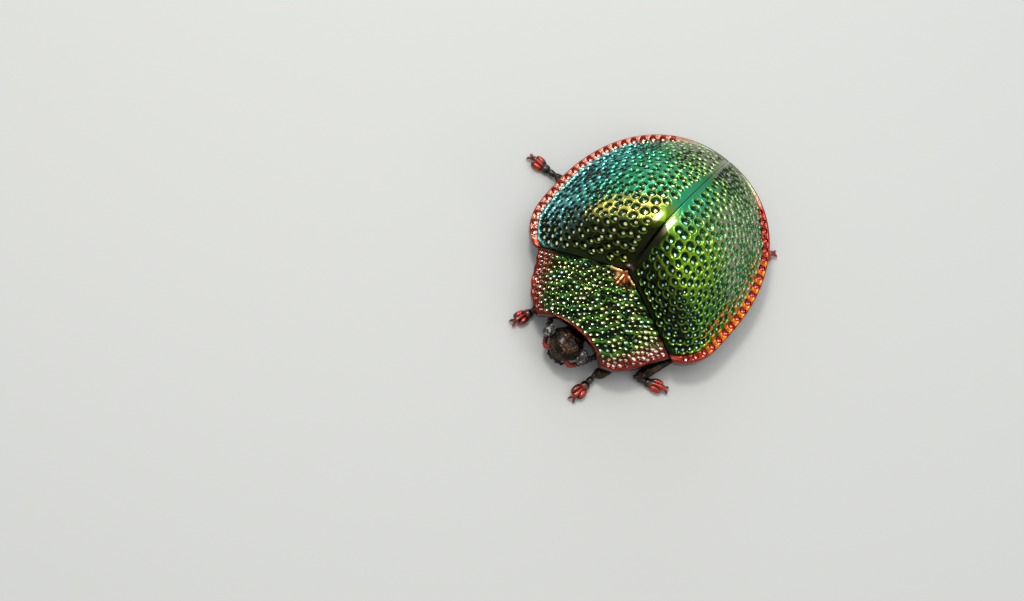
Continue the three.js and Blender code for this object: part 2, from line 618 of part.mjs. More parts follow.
const beetle = new THREE.Group();
for (const [name, body, [color, roughness, metalness]] of nodes) {
  const { vertProperties, triVerts, numProp } = body.getMesh();
  const positions = new Float32Array((vertProperties.length / numProp) * 3);
  for (let i = 0; i < positions.length / 3; i++) {
    positions.set(vertProperties.subarray(i * numProp, i * numProp + 3), 3 * i);
  }
  const geometry = new THREE.BufferGeometry();
  geometry.setAttribute("position", new THREE.BufferAttribute(positions, 3));
  geometry.setIndex(new THREE.BufferAttribute(new Uint32Array(triVerts), 1));
  geometry.computeVertexNormals();
  const mesh = new THREE.Mesh(geometry, new THREE.MeshStandardMaterial({ color, roughness, metalness }));
  mesh.name = name;
  beetle.add(mesh);
}

// The origin is the middle of the footprint, on the floor.
const footprint = new THREE.Box3().setFromObject(beetle);
const centre = footprint.getCenter(new THREE.Vector3());
beetle.position.set(-centre.x, -centre.y, -footprint.min.z);

export default beetle;
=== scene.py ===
"""A tortoise beetle at life size, standing still on its six feet.

Lengths are in millimetres in the beetle's own frame until a mesh is made: +Z is up, the head
points to -Y and the beetle's left is +X. x = 0 is its plane of symmetry, z = 0 the floor.
"""

import math

import bpy
import numpy as np
from mathutils import Matrix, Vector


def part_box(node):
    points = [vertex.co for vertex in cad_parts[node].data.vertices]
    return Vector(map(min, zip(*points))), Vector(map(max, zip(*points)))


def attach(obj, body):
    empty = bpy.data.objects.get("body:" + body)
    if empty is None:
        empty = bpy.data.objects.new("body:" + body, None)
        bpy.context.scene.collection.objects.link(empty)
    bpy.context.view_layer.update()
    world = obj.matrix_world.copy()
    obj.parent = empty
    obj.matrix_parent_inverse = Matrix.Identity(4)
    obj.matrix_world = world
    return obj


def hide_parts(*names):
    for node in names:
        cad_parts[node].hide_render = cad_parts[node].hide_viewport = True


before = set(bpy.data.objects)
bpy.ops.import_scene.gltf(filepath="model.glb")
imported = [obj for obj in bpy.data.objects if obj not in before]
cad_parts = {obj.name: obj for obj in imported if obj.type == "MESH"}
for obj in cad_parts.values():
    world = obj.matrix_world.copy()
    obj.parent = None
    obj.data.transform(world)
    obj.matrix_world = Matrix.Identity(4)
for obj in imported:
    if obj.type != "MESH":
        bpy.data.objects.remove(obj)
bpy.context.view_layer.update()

bl_info = {
    "name": "Tortoise beetle",
    "version": (1, 0, 0),
    "blender": (4, 5, 0),
    "location": "View3D > Sidebar > Beetle",
    "description": "Builds the skin, shell and studio of a life-size tortoise beetle",
    "category": "Add Mesh",
}

MM = 0.001

# Sizes shared with the solids.
HALF_WIDTH = 5.61
HUMP_Y = 2.0
HUMP_Z = 5.9
RIM_Z = 1.5
REAR_REACH = 6.87
FRONT_REACH = 4.15
ROUNDNESS = 2.12
FRONT_ROUNDNESS = 4.0
DISC_REACH = 0.93
TAIL_DISC_REACH = 0.985
RIM_RISE = 0.34
BASE_SHARE = 0.4
SHOULDER = math.pi * 0.704
TAIL_CORNER = math.pi / 6
BASE_Y = 0.12
BASE_FALL = 0.45
BASE_BEND = 0.032
SLOPE_LENGTH = 1.95
SLOPE_SHORTER = 0.2
SHIELD_SIDE = np.array([(4.12, -1.28), (3.72, -1.95), (3.28, -2.78), (2.72, -3.47), (1.95, -3.9)])
SHIELD_NOTCH = 0.36
SHIELD_FRONT_Z = 2.1
SHIELD_HIND_Z = 3.2
EYE = np.array([1.0, -4.22, 1.62])
EYE_HALF = np.array([0.32, 0.42, 0.5])
LEGS = {
    "front_right": {"hip": (-1.0, -2.5), "ankle": (-2.25, -3.15), "toe": (-2.74, -4.66)},
    "front_left": {"hip": (1.0, -2.5), "ankle": (1.93, -4.05), "toe": (1.86, -5.7)},
    "middle_right": {"hip": (-1.75, 0.15), "ankle": (-6.0, 2.78), "toe": (-7.72, 2.74)},
    "middle_left": {"hip": (1.75, 0.15), "ankle": (3.5, -2.68), "toe": (5.06, -2.08)},
    "hind_right": {"hip": (-1.6, 2.6), "ankle": (-2.9, 6.0), "toe": (-3.3, 7.66)},
    "hind_left": {"hip": (1.6, 2.6), "ankle": (3.6, 6.02), "toe": (4.7, 7.3)},
}
HIP_Z = 0.95
ANKLE_Z = 0.42
KNEE_Z = {"front": 0.66, "middle": 0.7, "hind": 0.72}
THIGH = {"front": 1.65, "middle": 2.75, "hind": 2.85}
SHIN = {"front": 1.55, "middle": 2.55, "hind": 2.65}
FEELER_WAY = np.array(
    [(0.45, -4.68, 1.24), (0.74, -4.7, 0.98), (1.0, -4.25, 0.74), (1.26, -3.72, 0.78), (1.5, -3.28, 0.98)]
)
FEELER_JOINTS = 11

# Ways of the left jaw, palp and feeler socket.
JAW_WAY = np.array([(0.12, -4.7, 0.95), (0.26, -4.84, 0.82), (0.1, -4.92, 0.7)])
PALP_WAY = np.array([(0.3, -4.5, 0.86), (0.46, -4.66, 0.7), (0.34, -4.82, 0.58)])
SOCKET_WAY = np.array([(0.36, -4.66, 1.36), (0.44, -4.8, 1.32)])

# Plates: gaps at the suture and the shield's hind edge, thicknesses, and the rings that close them.
SUTURE_GAP = 0.014
SHIELD_GAP = 0.02
WING_THICKNESS = 0.34
SHIELD_THICKNESS = 0.32
WALL_DROPS = (0.3, 0.75)
UNDER_INSETS = (0.012, 0.04, *np.arange(0.09, 1.0, 0.07))

# Pits of the wing cases. A radius is a share of the spacing, except on the rim. Every third
# point of the grid both ways is open to a pit.
WING_THIN = 3
MIDDLE_SPACING = 0.6
SIDE_SPACING = 0.41
BASE_SPACING = 0.46
PIT_RADIUS = (0.38, 0.48)
# DOT_SHARE is the radius of a pit's painted highlight dot, as a share of the pit's radius.
DOT_SHARE = 0.44
SIDE_RADIUS_MORE = 0.09
DEEP_RADIUS = 0.24
RIM_ROW = 0.957
RIM_TURNS = (0.42, SHOULDER * 0.985)
RIM_FIRST = 0.2
RIM_PITCH = 0.5
RIM_PIT_RADIUS = 0.18
RIB_RISE = 0.02

# The shield's width and length, and the pits and swells on it. The swells lie 41 degrees askew.
SHIELD_WIDTH = 8.2
SHIELD_LENGTH = 3.6
SHIELD_THIN = 2
SHIELD_SPACING = 0.28
# The shield's painted highlight dots are two patches each, swayed from the pit's middle by these shares of
# its radius.
SHIELD_SWAYS = ((0.4, 0.26, 0), (0.0, -0.08, 0))
SWELL_COS = 0.755
SWELL_SIN = 0.656
LOBE_RISE = 0.12

# Places of marks in the finishes: the painted shade in the left shoulder's hollow, the painted
# glow round the hump's highlight, the lime net, the painted highlight on the hind lobe, and the
# two painted highlights beside the suture on the hump (x, y and half length).
SHOULDER_HOLLOW = (3.43, 0.26, 2.0)
HUMP_GLOW = (-0.3, 2.1, 5.8)
LIME_NET = (2.3, 2.0, 4.9)
LOBE_HIGHLIGHT = (-0.3, -0.52, 3.1)
HUMP_HIGHLIGHTS = ((0.24, 1.95, 0.75), (-0.42, 2.0, 0.42))

# Lumps of the head (skull, neck, face and brow) and of the fore body: middle and half sizes.
HEAD_LUMPS = (
    ((0, -4.12, 1.4), (0.94, 0.8, 0.6)),
    ((0, -3.6, 1.2), (0.66, 0.72, 0.4)),
    ((0, -4.6, 1.12), (0.5, 0.38, 0.4)),
    ((0, -4.5, 1.62), (0.42, 0.34, 0.3)),
)
FORE_LUMPS = (
    ((0, -2.25, 1.6), (1.7, 1.0, 0.7)),
    ((0, -2.3, 1.15), (0.5, 0.95, 0.3)),
)

# The hind body: its share of the wing cases' outline, its top and its plates.
BODY_SHARE = 0.78
UNDER_WINGS = 0.95
BODY_TOP = 4.9
MID_BODY = (-0.98, 3.28)
ABDOMEN = (3.41, HUMP_Y + REAR_REACH * 0.775)
PLATES_START = 3.35
PLATE_LENGTH = 0.98

# Girths of a thigh and a shin, from their upper end to their lower one.
THIGH_GIRTHS = (0.16, 0.22, 0.31, 0.37, 0.39, 0.38, 0.35, 0.3, 0.26, 0.16)
SHIN_GIRTHS = (0.1, 0.17, 0.19, 0.2, 0.22, 0.25, 0.28, 0.3, 0.27, 0.14)

# Joints of a foot: share of its length, place across, height, half sizes and turn outwards.
FOOT_JOINTS = (
    (0.0, 0, 0.36, (0.17, 0.13, 0.15), 0.0),
    (0.16, 0, 0.26, (0.27, 0.17, 0.17), 0.0),
    (0.38, 0, 0.22, (0.26, 0.24, 0.19), 0.0),
    (0.62, 0.19, 0.2, (0.33, 0.17, 0.18), 0.12),
    (0.62, -0.19, 0.2, (0.33, 0.17, 0.18), -0.12),
)
# Brushes of hair under a foot: share of its length, place across, half width, half length share.
BRUSHES = ((0.38, 0, 0.2, 0.13), (0.62, 0.19, 0.13, 0.16), (0.62, -0.19, 0.13, 0.16))
HAIRS = 60
SOLE_Z = 0.03

# The photograph's camera: its angles in degrees, the pixel in which it sees the origin, and how
# far it is in millimetres.
PHOTO_WIDTH = 1024
PHOTO_HEIGHT = 601
VIEW_ANGLE = 25.0
AZIMUTH = 16.084
ELEVATION = 67.5
ROLL = 25.226
SIGHT = (613.308, 294.858)
SIGHT_DISTANCE = 112.637
SENSOR = 36

# The studio. Lamps: name, direction from the beetle, size in metres, power in watts and tint.
# Their distance is in metres too.
FLOOR_HALF = 400
FLOOR_PAINT = (0.36, 0.36, 0.348)
SKY = (0.95, 0.98, 1.0)
SKY_STRENGTH = 0.9
LAMP_DISTANCE = 0.12
LAMPS = (
    ("key", (-0.4, 0.1, 1.0), 0.022, 0.07, (1.0, 0.98, 0.92)),
    ("top", (-0.15, 0.3, 1.0), 0.13, 0.1, (1.0, 1.0, 1.0)),
    ("side", (1.0, 0.1, 0.7), 0.03, 0.015, (1.0, 1.0, 0.95)),
    ("back", (-0.7, 0.9, 0.55), 0.05, 0.03, (0.85, 0.95, 1.0)),
)

# The beetle's own origin in the row's frame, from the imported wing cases.
WING_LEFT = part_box("wing_case_left")
WING_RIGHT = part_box("wing_case_right")
ORIGIN = np.array(
    [
        (WING_LEFT[1][0] + WING_RIGHT[0][0]) / 2 / MM,
        WING_LEFT[1][1] / MM - HUMP_Y - REAR_REACH,
        0.0,
    ]
)


def smooth(t):
    """3t^2 - 2t^3 between 0 and 1, and level outside."""
    t = np.clip(t, 0, 1)
    return t * t * (3 - 2 * t)


def mix(a, b, t):
    """a at t = 0, b at t = 1, and in proportion between."""
    return a + (b - a) * t


def bell(t, centre, width):
    """A smooth bump: exp(-s^2), where s is how far t is from the centre, in widths."""
    return np.exp(-(((t - centre) / width) ** 2))


def mound(x, y, centre, half):
    """A round bump: exp(-s^2 - t^2), where s and t are the ways from the centre in half sizes."""
    return np.exp(-(((x - centre[0]) / half[0]) ** 2) - ((y - centre[1]) / half[1]) ** 2)


def outline_share(x, y):
    """Share of the way from the hump to the outline: a squarish ellipse, longer behind."""
    reach = np.where(y < HUMP_Y, FRONT_REACH, REAR_REACH)
    power = np.where(y < HUMP_Y, FRONT_ROUNDNESS, ROUNDNESS)
    level = (np.abs(x) / HALF_WIDTH) ** ROUNDNESS + (np.abs(y - HUMP_Y) / reach) ** power
    return level ** (1 / ROUNDNESS)


def outline_point(angle, share=1.0):
    """The place where the share is met in that direction from the hump, counted from +Y. It is
    found by halving the stretch between the hump and twice the rear reach."""
    angle = np.asarray(angle, dtype=float)
    low = np.zeros_like(angle)
    high = np.full_like(angle, 2 * REAR_REACH)
    for _ in range(40):
        middle = (low + high) / 2
        inside = outline_share(middle * np.sin(angle), HUMP_Y + middle * np.cos(angle)) < share
        low = np.where(inside, middle, low)
        high = np.where(inside, high, middle)
    return low * np.sin(angle), HUMP_Y + low * np.cos(angle)


def base_line(x):
    """Where the wing cases begin behind the shield: y is a parabola of |x| that runs forward from
    the middle to the sides."""
    return BASE_Y - BASE_FALL * np.abs(x) + BASE_BEND * x * x


def up_slope(x, y):
    """Share of the way up the slope in front of the hump: 0 at the base line, 1 at its top."""
    return (y - base_line(x)) / (SLOPE_LENGTH - SLOPE_SHORTER * np.abs(x))


def tailward(x, y):
    """0 in front and at the sides of the hump, climbing to 1 straight behind it: the square of
    b / (a + b), where a is the square of x over the half width and b that of the way behind the
    hump over the rear reach."""
    across = (x / HALF_WIDTH) ** 2
    behind = np.where(y > HUMP_Y, ((y - HUMP_Y) / REAR_REACH) ** 2, 0.0)
    return (behind / (across + behind + 1e-6)) ** 2


def disc_reach(x, y):
    """The outline share at which the dome ends and the flat rim begins."""
    return mix(DISC_REACH, TAIL_DISC_REACH, tailward(x, y))


def wing_height(x, y):
    """Height of the smooth back. The dome falls with a power of the outline share and the flat rim
    in proportion to it. The higher of the two counts, rounded where they meet, and is cut down
    along the slope in front of the hump, with a hollow beside each shoulder."""
    share = outline_share(x, y)
    tail = tailward(x, y)
    reach = disc_reach(x, y)
    fall = np.maximum(0, 1 - (share / reach) ** mix(2.2, 1.25, tail))
    dome = (HUMP_Z - RIM_Z) * fall ** mix(1, 0.7, tail)
    rim = mix(RIM_RISE, 0.1, tail) * (1 - share) / (1 - DISC_REACH * 0.97)
    climb = np.clip(up_slope(x, y), 0, 1)
    hollow = 0.3 * mound(np.abs(x), y, (3.85, -0.05), (0.65, 0.5))
    rounded = np.maximum(dome, rim) + np.maximum(0.3 - np.abs(dome - rim), 0) ** 2 / 0.3 * 0.25
    return RIM_Z + rounded * mix(BASE_SHARE, 1, smooth(climb)) - hollow


def filled(front, back, inner, outer):
    """A four-sided patch between four edges: the sum of both ruled surfaces less the twisted one."""

    def place(u, v):
        """x and y of the patch."""
        corners = []
        for axis in (0, 1):
            ruled = mix(front(u)[axis], back(u)[axis], v) + mix(inner(v)[axis], outer(v)[axis], u)
            first = mix(front(0 * u)[axis], front(0 * u + 1)[axis], u)
            last = mix(back(0 * u)[axis], back(0 * u + 1)[axis], u)
            corners.append(ruled - mix(first, last, v))
        return corners

    return place


def grid_quads(rows, columns, start=0, closed=False):
    """Quads between neighbouring rows and columns of points laid out row by row."""
    last = columns if closed else columns - 1
    r, c = np.meshgrid(np.arange(rows - 1), np.arange(last), indexing="ij")
    after = (c + 1) % columns
    a = start + r * columns + c
    b = start + r * columns + after
    return np.stack([a, b, b + columns, a + columns], -1).reshape(-1, 4)


class Body:
    """Points, quads and triangles of a piece as arrays, with any values stored for each point."""

    def __init__(self, points, quads=(), triangles=(), values=None):
        self.points = np.asarray(points, dtype=float).reshape(-1, 3)
        self.quads = np.asarray(quads, dtype=int).reshape(-1, 4)
        self.triangles = np.asarray(triangles, dtype=int).reshape(-1, 3)
        self.values = values or {}

    def mirrored(self):
        """The same body on the other side of x = 0, turned right side out."""
        points = self.points * (-1, 1, 1)
        return Body(points, self.quads[:, ::-1], self.triangles[:, ::-1], self.values)


def joined(bodies):
    """Several bodies without stored values as one, with their points one after the other."""
    starts = np.cumsum([0] + [len(body.points) for body in bodies])
    return Body(
        np.concatenate([body.points for body in bodies]),
        np.concatenate([body.quads + start for body, start in zip(bodies, starts)]),
        np.concatenate([body.triangles + start for body, start in zip(bodies, starts)]),
    )


def shell(place, top, thickness, columns, rows, relief):
    """A closed plate. Its top is place(u, v) at height top(x, y), lowered along the normal by the
    depth that relief(points, u, v) gives, along with values to store. Its wall and underside are rings that
    shrink towards the patch's middle, and lie lower where the top is steep: thickness times the
    length of (slope in x, slope in y, 1), and twice the thickness at most."""

    def under_height(x, y):
        """Height of the underside, from the slopes of the top over a small step."""
        step = 0.05
        slope_x = (top(x + step, y) - top(x - step, y)) / (2 * step)
        slope_y = (top(x, y + step) - top(x, y - step)) / (2 * step)
        return top(x, y) - thickness * np.minimum(np.sqrt(1 + slope_x**2 + slope_y**2), 2)

    v, u = np.meshgrid(np.linspace(0, 1, rows + 1), np.linspace(0, 1, columns + 1), indexing="ij")
    x, y = place(u, v)
    points = np.stack([x, y, top(x, y)], -1)
    normals = np.cross(np.gradient(points, axis=1), np.gradient(points, axis=0))
    normals /= np.linalg.norm(normals, axis=-1, keepdims=True) + 1e-12
    depth, values = relief(points, u, v)
    upper = (points - normals * depth[..., None]).reshape(-1, 3)
    index = np.arange(len(upper)).reshape(rows + 1, columns + 1)
    loop = np.concatenate([index[0, :-1], index[:-1, -1], index[-1, :0:-1], index[:0:-1, 0]])
    across, along = u.ravel()[loop], v.ravel()[loop]
    rings = [upper]
    for drop in WALL_DROPS:
        rings.append(upper[loop] - (0, 0, thickness * drop))
    for inset in UNDER_INSETS:
        x, y = place(mix(across, 0.5, inset), mix(along, 0.5, inset))
        rings.append(np.stack([x, y, under_height(x, y)], -1))
    quads = [grid_quads(rows + 1, columns + 1)]
    count = len(loop)
    after = np.roll(np.arange(count), -1)
    start = len(upper)
    above = loop
    for _ in rings[1:]:
        below = start + np.arange(count)
        quads.append(np.stack([below, below[after], above[after], above], -1))
        above = below
        start += count
    x, y = place(np.array([0.5]), np.array([0.5]))
    rings.append(np.stack([x, y, under_height(x, y)], -1))
    triangles = np.stack([np.full(count, start), above[after], above], -1)
    everything = np.concatenate(rings)
    spare = len(everything) - len(upper)
    stored = {
        key: np.concatenate([value.ravel(), np.full(spare, value.ravel()[loop].mean())])
        for key, value in values.items()
    }
    return Body(everything, np.concatenate(quads), triangles, stored)


def swept(path, widths, heights, sides):
    """A closed limb: an ellipse carried along a path, with its half width across and half height
    upwards given at each point, and a point beyond each end."""
    path = np.asarray(path, dtype=float)
    along = np.gradient(path, axis=0)
    along /= np.linalg.norm(along, axis=1, keepdims=True)
    across = np.cross(along, (0.0, 0.0, 1.0))
    across /= np.linalg.norm(across, axis=1, keepdims=True)
    lift = np.cross(across, along)
    turn = np.linspace(0, 2 * math.pi, sides, endpoint=False)
    ring = (
        across[:, None] * (np.cos(turn)[None, :] * np.asarray(widths)[:, None])[..., None]
        + lift[:, None] * (np.sin(turn)[None, :] * np.asarray(heights)[:, None])[..., None]
    )
    points = (path[:, None] + ring).reshape(-1, 3)
    total = len(points)
    c = np.arange(sides)
    after = (c + 1) % sides
    quads = grid_quads(len(path), sides, closed=True)[:, ::-1]
    first = np.stack([np.full(sides, total), c, after], -1)[:, ::-1]
    last = np.stack([np.full(sides, total + 1), total - sides + after, total - sides + c], -1)[:, ::-1]
    beyond = 0.3
    start = path[:1] - along[:1] * widths[0] * beyond
    end = path[-1:] + along[-1:] * widths[-1] * beyond
    return outward(Body(np.concatenate([points, start, end]), quads, np.concatenate([first, last])))


def outward(body):
    """The same body with its faces turned out. Its volume, the sum of a . (b x c) over its
    triangles, is negative where they point in."""
    p = body.points
    q = body.quads
    t = np.concatenate([body.triangles, q[:, [0, 1, 2]], q[:, [0, 2, 3]]])
    volume = np.einsum("ij,ij->i", p[t[:, 0]], np.cross(p[t[:, 1]], p[t[:, 2]])).sum()
    if volume < 0:
        return Body(p, q[:, ::-1], body.triangles[:, ::-1])
    return body


def curve(points, count):
    """A smooth path through the points: cubic pieces whose slopes are those of the neighbours,
    (2t^3 - 3t^2 + 1) a + (t^3 - 2t^2 + t) m + (3t^2 - 2t^3) b + (t^3 - t^2) n."""
    points = np.asarray(points, dtype=float)
    slopes = np.gradient(points, axis=0)
    s = np.linspace(0, len(points) - 1, count)
    i = np.clip(s.astype(int), 0, len(points) - 2)
    t = (s - i)[:, None]
    a, b = points[i], points[i + 1]
    m, n = slopes[i], slopes[i + 1]
    return (
        (2 * t**3 - 3 * t**2 + 1) * a
        + (t**3 - 2 * t**2 + t) * m
        + (-2 * t**3 + 3 * t**2) * b
        + (t**3 - t**2) * n
    )


def star(centre, lumps, across, up, blend=14.0, shape=None):
    """A closed skin round a centre. In each direction it lies at the furthest exit from a set of
    ellipsoids (middle, half sizes), with the creases between them rounded by a soft maximum: the
    logarithm of the mean of exp(blend * exit), over blend. A share of what the mean loses is
    given back."""
    missed, least, given_back = 0.02, 0.05, 0.4
    theta = np.linspace(0, math.pi, up + 1)[1:-1]
    phi = np.linspace(0, 2 * math.pi, across, endpoint=False)
    t, p = np.meshgrid(theta, phi, indexing="ij")
    ways = np.stack([np.sin(t) * np.cos(p), np.sin(t) * np.sin(p), np.cos(t)], -1).reshape(-1, 3)
    ways = np.concatenate([ways, [(0, 0, 1), (0, 0, -1)]])
    centre = np.asarray(centre, dtype=float)
    exits = []
    for middle, half in lumps:
        start = (centre - middle) / half
        way = ways / half
        a = (way * way).sum(1)
        b = (way * start).sum(1)
        c = (start * start).sum() - 1
        root = b * b - a * c
        exits.append(np.where(root > 0, (-b + np.sqrt(np.maximum(root, 0))) / a, missed))
    reach = np.log(np.exp(blend * np.stack(exits)).mean(0)) / blend
    reach = np.maximum(reach + math.log(len(lumps)) / blend * given_back, least)
    points = centre + ways * reach[:, None]
    if shape:
        points = shape(points)
    quads = grid_quads(up - 1, across, closed=True)
    c = np.arange(across)
    after = (c + 1) % across
    north = np.stack([np.full(across, len(points) - 2), c, after], -1)
    low = (up - 2) * across
    south = np.stack([np.full(across, len(points) - 1), low + after, low + c], -1)
    return outward(Body(points, quads[:, ::-1], np.concatenate([north, south])))


def ball(centre, half, across, up):
    """An ellipsoid with those half sizes."""
    return star(centre, [(centre, half)], across, up)


def turned(points, angle):
    """The points turned about the z axis: (x cos a - y sin a, x sin a + y cos a, z)."""
    c, s = math.cos(angle), math.sin(angle)
    x, y, z = points.T
    return np.stack([x * c - y * s, x * s + y * c, z], -1)


def spread(points, areas, spacing, rng, rounds=9):
    """Places spread evenly at the wanted spacing: seeded draws, each moved a few times to the
    middle of the points nearest to it. A place takes 0.866 spacing^2, as in a lattice of even
    triangles. Returns the places' indices among the points."""
    weight = areas / (0.866 * spacing**2)
    count = max(2, int(weight.sum()))
    chosen = rng.choice(len(points), count, replace=False, p=weight / weight.sum())
    places = points[chosen]
    for _ in range(rounds):
        nearest = near(points, places, np.ones(count))[1]
        total = np.bincount(nearest, weight, count) + 1e-9
        places = np.stack([np.bincount(nearest, weight * points[:, k], count) / total for k in range(3)], -1)
    return near(places, points, np.ones(len(points)))[1]


def near(points, places, radii):
    """For each point the smallest distance to a place over that place's radius, and which it is.
    The square of a distance is p . p + q . q - 2 p . q, worked out for some points at a time."""
    at_a_time = 8192
    points = points.astype(np.float32)
    places = places.astype(np.float32)
    squares = (places**2).sum(1)
    best = np.empty(len(points), dtype=np.float32)
    which = np.empty(len(points), dtype=int)
    for start in range(0, len(points), at_a_time):
        part = points[start : start + at_a_time]
        distance = (part**2).sum(1)[:, None] + squares[None] - 2 * part @ places.T
        ratio = distance / (radii[None] ** 2)
        which[start : start + at_a_time] = ratio.argmin(1)
        best[start : start + at_a_time] = np.sqrt(np.maximum(ratio.min(1), 0))
    return best, which


def thinned(mask, step):
    """The mask on every so many rows and columns, and False between them."""
    few = np.zeros_like(mask)
    few[::step, ::step] = mask[::step, ::step]
    return few


def areas_of(points):
    """The area that goes with each point of a grid, from the cross product of its two steps."""
    return np.linalg.norm(np.cross(np.gradient(points, axis=1), np.gradient(points, axis=0)), axis=-1)


def wing_plan():
    """The plan of the left wing case: u from suture to margin, v from base to tail. Beyond its
    turn the front edge leaves the base line for the shoulder, and columns lie closer together
    towards the margin: u is taken at 1 - (1 - u)^1.25."""
    turn_x, crowding = 3.95, 1.25
    shoulder_x, shoulder_y = (float(value) for value in outline_point(SHOULDER))

    def front(u):
        """The front edge, along the base line and then out to the shoulder."""
        x = mix(SUTURE_GAP, shoulder_x, u)
        return x, mix(base_line(x), shoulder_y, smooth((x - turn_x) / (shoulder_x - turn_x)))

    def back(u):
        """The tail end of the margin, up to the suture."""
        x, y = outline_point(TAIL_CORNER * u)
        return np.maximum(x, SUTURE_GAP), y

    def inner(v):
        """The edge along the suture."""
        return 0 * v + SUTURE_GAP, mix(front(0 * v)[1], back(0 * v)[1], v)

    def outer(v):
        """The rest of the margin, from the shoulder to the tail's corner."""
        return outline_point(mix(SHOULDER, TAIL_CORNER, v))

    place = filled(front, back, inner, outer)
    return lambda u, v: place(1 - (1 - u) ** crowding, v)


def fine_wing_height(x, y):
    """The back, 0.02 lower, with bells of the outline share added: a bead on the rim, and a groove
    at the foot of the dome that ends before the tail."""
    share = outline_share(x, y)
    side = smooth((6.6 - y) / 1.6)
    bead = 0.05 * bell(share, 0.988, 0.009)
    groove = 0.04 * bell(share, 0.93, 0.012) * side
    return wing_height(x, y) + bead - groove - 0.02


def rim_line():
    """The line of the left rim's pits: its angles from the hump, the way along it to each of them,
    as the sum of its steps, and its x and y."""
    turns = np.linspace(*RIM_TURNS, 400)
    x, y = outline_point(turns, RIM_ROW)
    way = np.concatenate([[0], np.cumsum(np.hypot(np.diff(x), np.diff(y)))])
    return turns, way, x, y


def wing_relief(seed, pit_depth, sway, rim_glint):
    """Round pits spread over the dome, closer together towards the sides and the tail, a row of
    larger ones on the flat rim with low ribs between them, and none beside the suture. A pit is
    1 - q^2.6 deep, where q is the distance to the nearest pit over its radius, with a lip round
    it. streak is 1 on a rib, a cosine of the way along the margin; glow is 1 along the middle of
    that way; the glint value is a painted highlight, a patch in each pit swayed from its middle;
    slope runs up the front."""

    def relief(points, u, v):
        """Depth of the relief and the values to store, at each point."""
        rng = np.random.default_rng(seed)
        flat = points.reshape(-1, 3)
        x, y = points[..., 0], points[..., 1]
        share = outline_share(x, y)
        before_tail = smooth((7.2 - y) / 2.4)
        bare = mix(0.28, 0.14, smooth((y - 4.5) / 2.5)) + 0.28 * bell(y, 2.1, 0.75)
        dome = share < mix(0.955, 0.915, before_tail)
        # Pits keep off the rim, the suture and the base line.
        take = thinned(dome & (x > bare) & (y > base_line(x) + 0.2), WING_THIN)

        # The pits of the dome.
        ground = points[take]
        ground_x, ground_y = ground[:, 0], ground[:, 1]
        wide = mix(MIDDLE_SPACING, SIDE_SPACING, smooth((share[take] - 0.25) / 0.5))
        wide = wide * mix(1, 0.9, smooth((ground_y - 3.5) / 4))
        wide = mix(wide, BASE_SPACING, bell(ground_y - base_line(ground_x), 0.4, 0.7))
        chosen = spread(ground, areas_of(points)[take] * WING_THIN**2, wide, rng)
        crowd = SIDE_RADIUS_MORE * smooth((share[take][chosen] - 0.5) / 0.3)
        radii = wide[chosen] * (rng.uniform(*PIT_RADIUS, len(chosen)) + crowd)

        # The row on the rim.
        turns, way, rim_x, rim_y = rim_line()
        stops = np.arange(RIM_FIRST, way[-1], RIM_PITCH)
        rim_x, rim_y = np.interp(stops, way, rim_x), np.interp(stops, way, rim_y)
        row = np.stack([rim_x, rim_y, wing_height(rim_x, rim_y)], -1)
        places = np.concatenate([ground[chosen], row])
        radii = np.concatenate([radii, np.full(len(row), RIM_PIT_RADIUS)])

        q, which = near(flat, places, radii)
        # Each pit gets a painted highlight dot, a share of its radius, swayed off its middle.
        dots = np.concatenate([np.full(len(chosen), DOT_SHARE), np.full(len(row), rim_glint)])
        glint_radii = radii * dots
        glint = 1 - near(flat, places + np.array(sway) * radii[:, None], glint_radii)[0]
        q = q.reshape(x.shape)
        bowl = np.clip(1 - q**2.6, 0, 1)
        deep = pit_depth * radii[which].reshape(x.shape) / DEEP_RADIUS
        lip = 0.02 * bell(q, 1.12, 0.16)
        fade = 1 - smooth((share - 0.98) / 0.01)
        rim = smooth((share - disc_reach(x, y) + 0.012) / 0.022)
        turn = np.arctan2(x, y - HUMP_Y)
        along = np.interp(turn, turns, way)
        streak = 0.5 + 0.5 * np.cos(2 * math.pi * (along - RIM_FIRST) / RIM_PITCH + math.pi)
        streak = streak * smooth((share - 0.77) / 0.08)
        depth = (deep * bowl - lip) * fade + 0.02 * bell(x, 0, 0.07) - RIB_RISE * streak * (1 - rim)
        values = {
            "pit": np.clip(1 - q, -1, 1),
            "rim": rim,
            "slope": np.clip(up_slope(x, y), 0, 3),
            "streak": streak,
            "glow": smooth((turn - 0.75) / 0.3) * smooth((2.0 - turn) / 0.25),
            "glint": np.clip(glint.reshape(x.shape), 0, 1) * fade,
        }
        return depth, values

    return relief


def shield_line(count):
    """The left side line of the shield as a smooth path, from its hind corner to its front one."""
    return curve(np.c_[SHIELD_SIDE, np.zeros(len(SHIELD_SIDE))], count)


def shield_half(y):
    """Half of the shield's width at y, from its side line."""
    side = shield_line(60)
    return np.interp(-y, -side[:, 1], side[:, 0])


def shield_plan():
    """The plan of the shield: u from right to left, v from the front edge to the hind edge. The
    front edge is a shallow parabola, and the hind one follows the wing cases' base line."""
    side = shield_line(120)[::-1]
    steps = np.linspace(0, 1, len(side))
    front_x, front_y = SHIELD_SIDE[-1]

    def edge(v):
        """The left edge, and with x the other way round the right one."""
        return np.interp(v, steps, side[:, 0]), np.interp(v, steps, side[:, 1])

    def front(u):
        """The front edge, hollowed by the notch in the middle."""
        return mix(-front_x, front_x, u), front_y + SHIELD_NOTCH * (1 - (2 * u - 1) ** 2)

    def hind(u):
        """The hind edge, a gap in front of the base line."""
        x = mix(-SHIELD_SIDE[0][0], SHIELD_SIDE[0][0], u)
        return x, base_line(x) - SHIELD_GAP

    return filled(front, hind, lambda v: (-edge(v)[0], edge(v)[1]), edge)


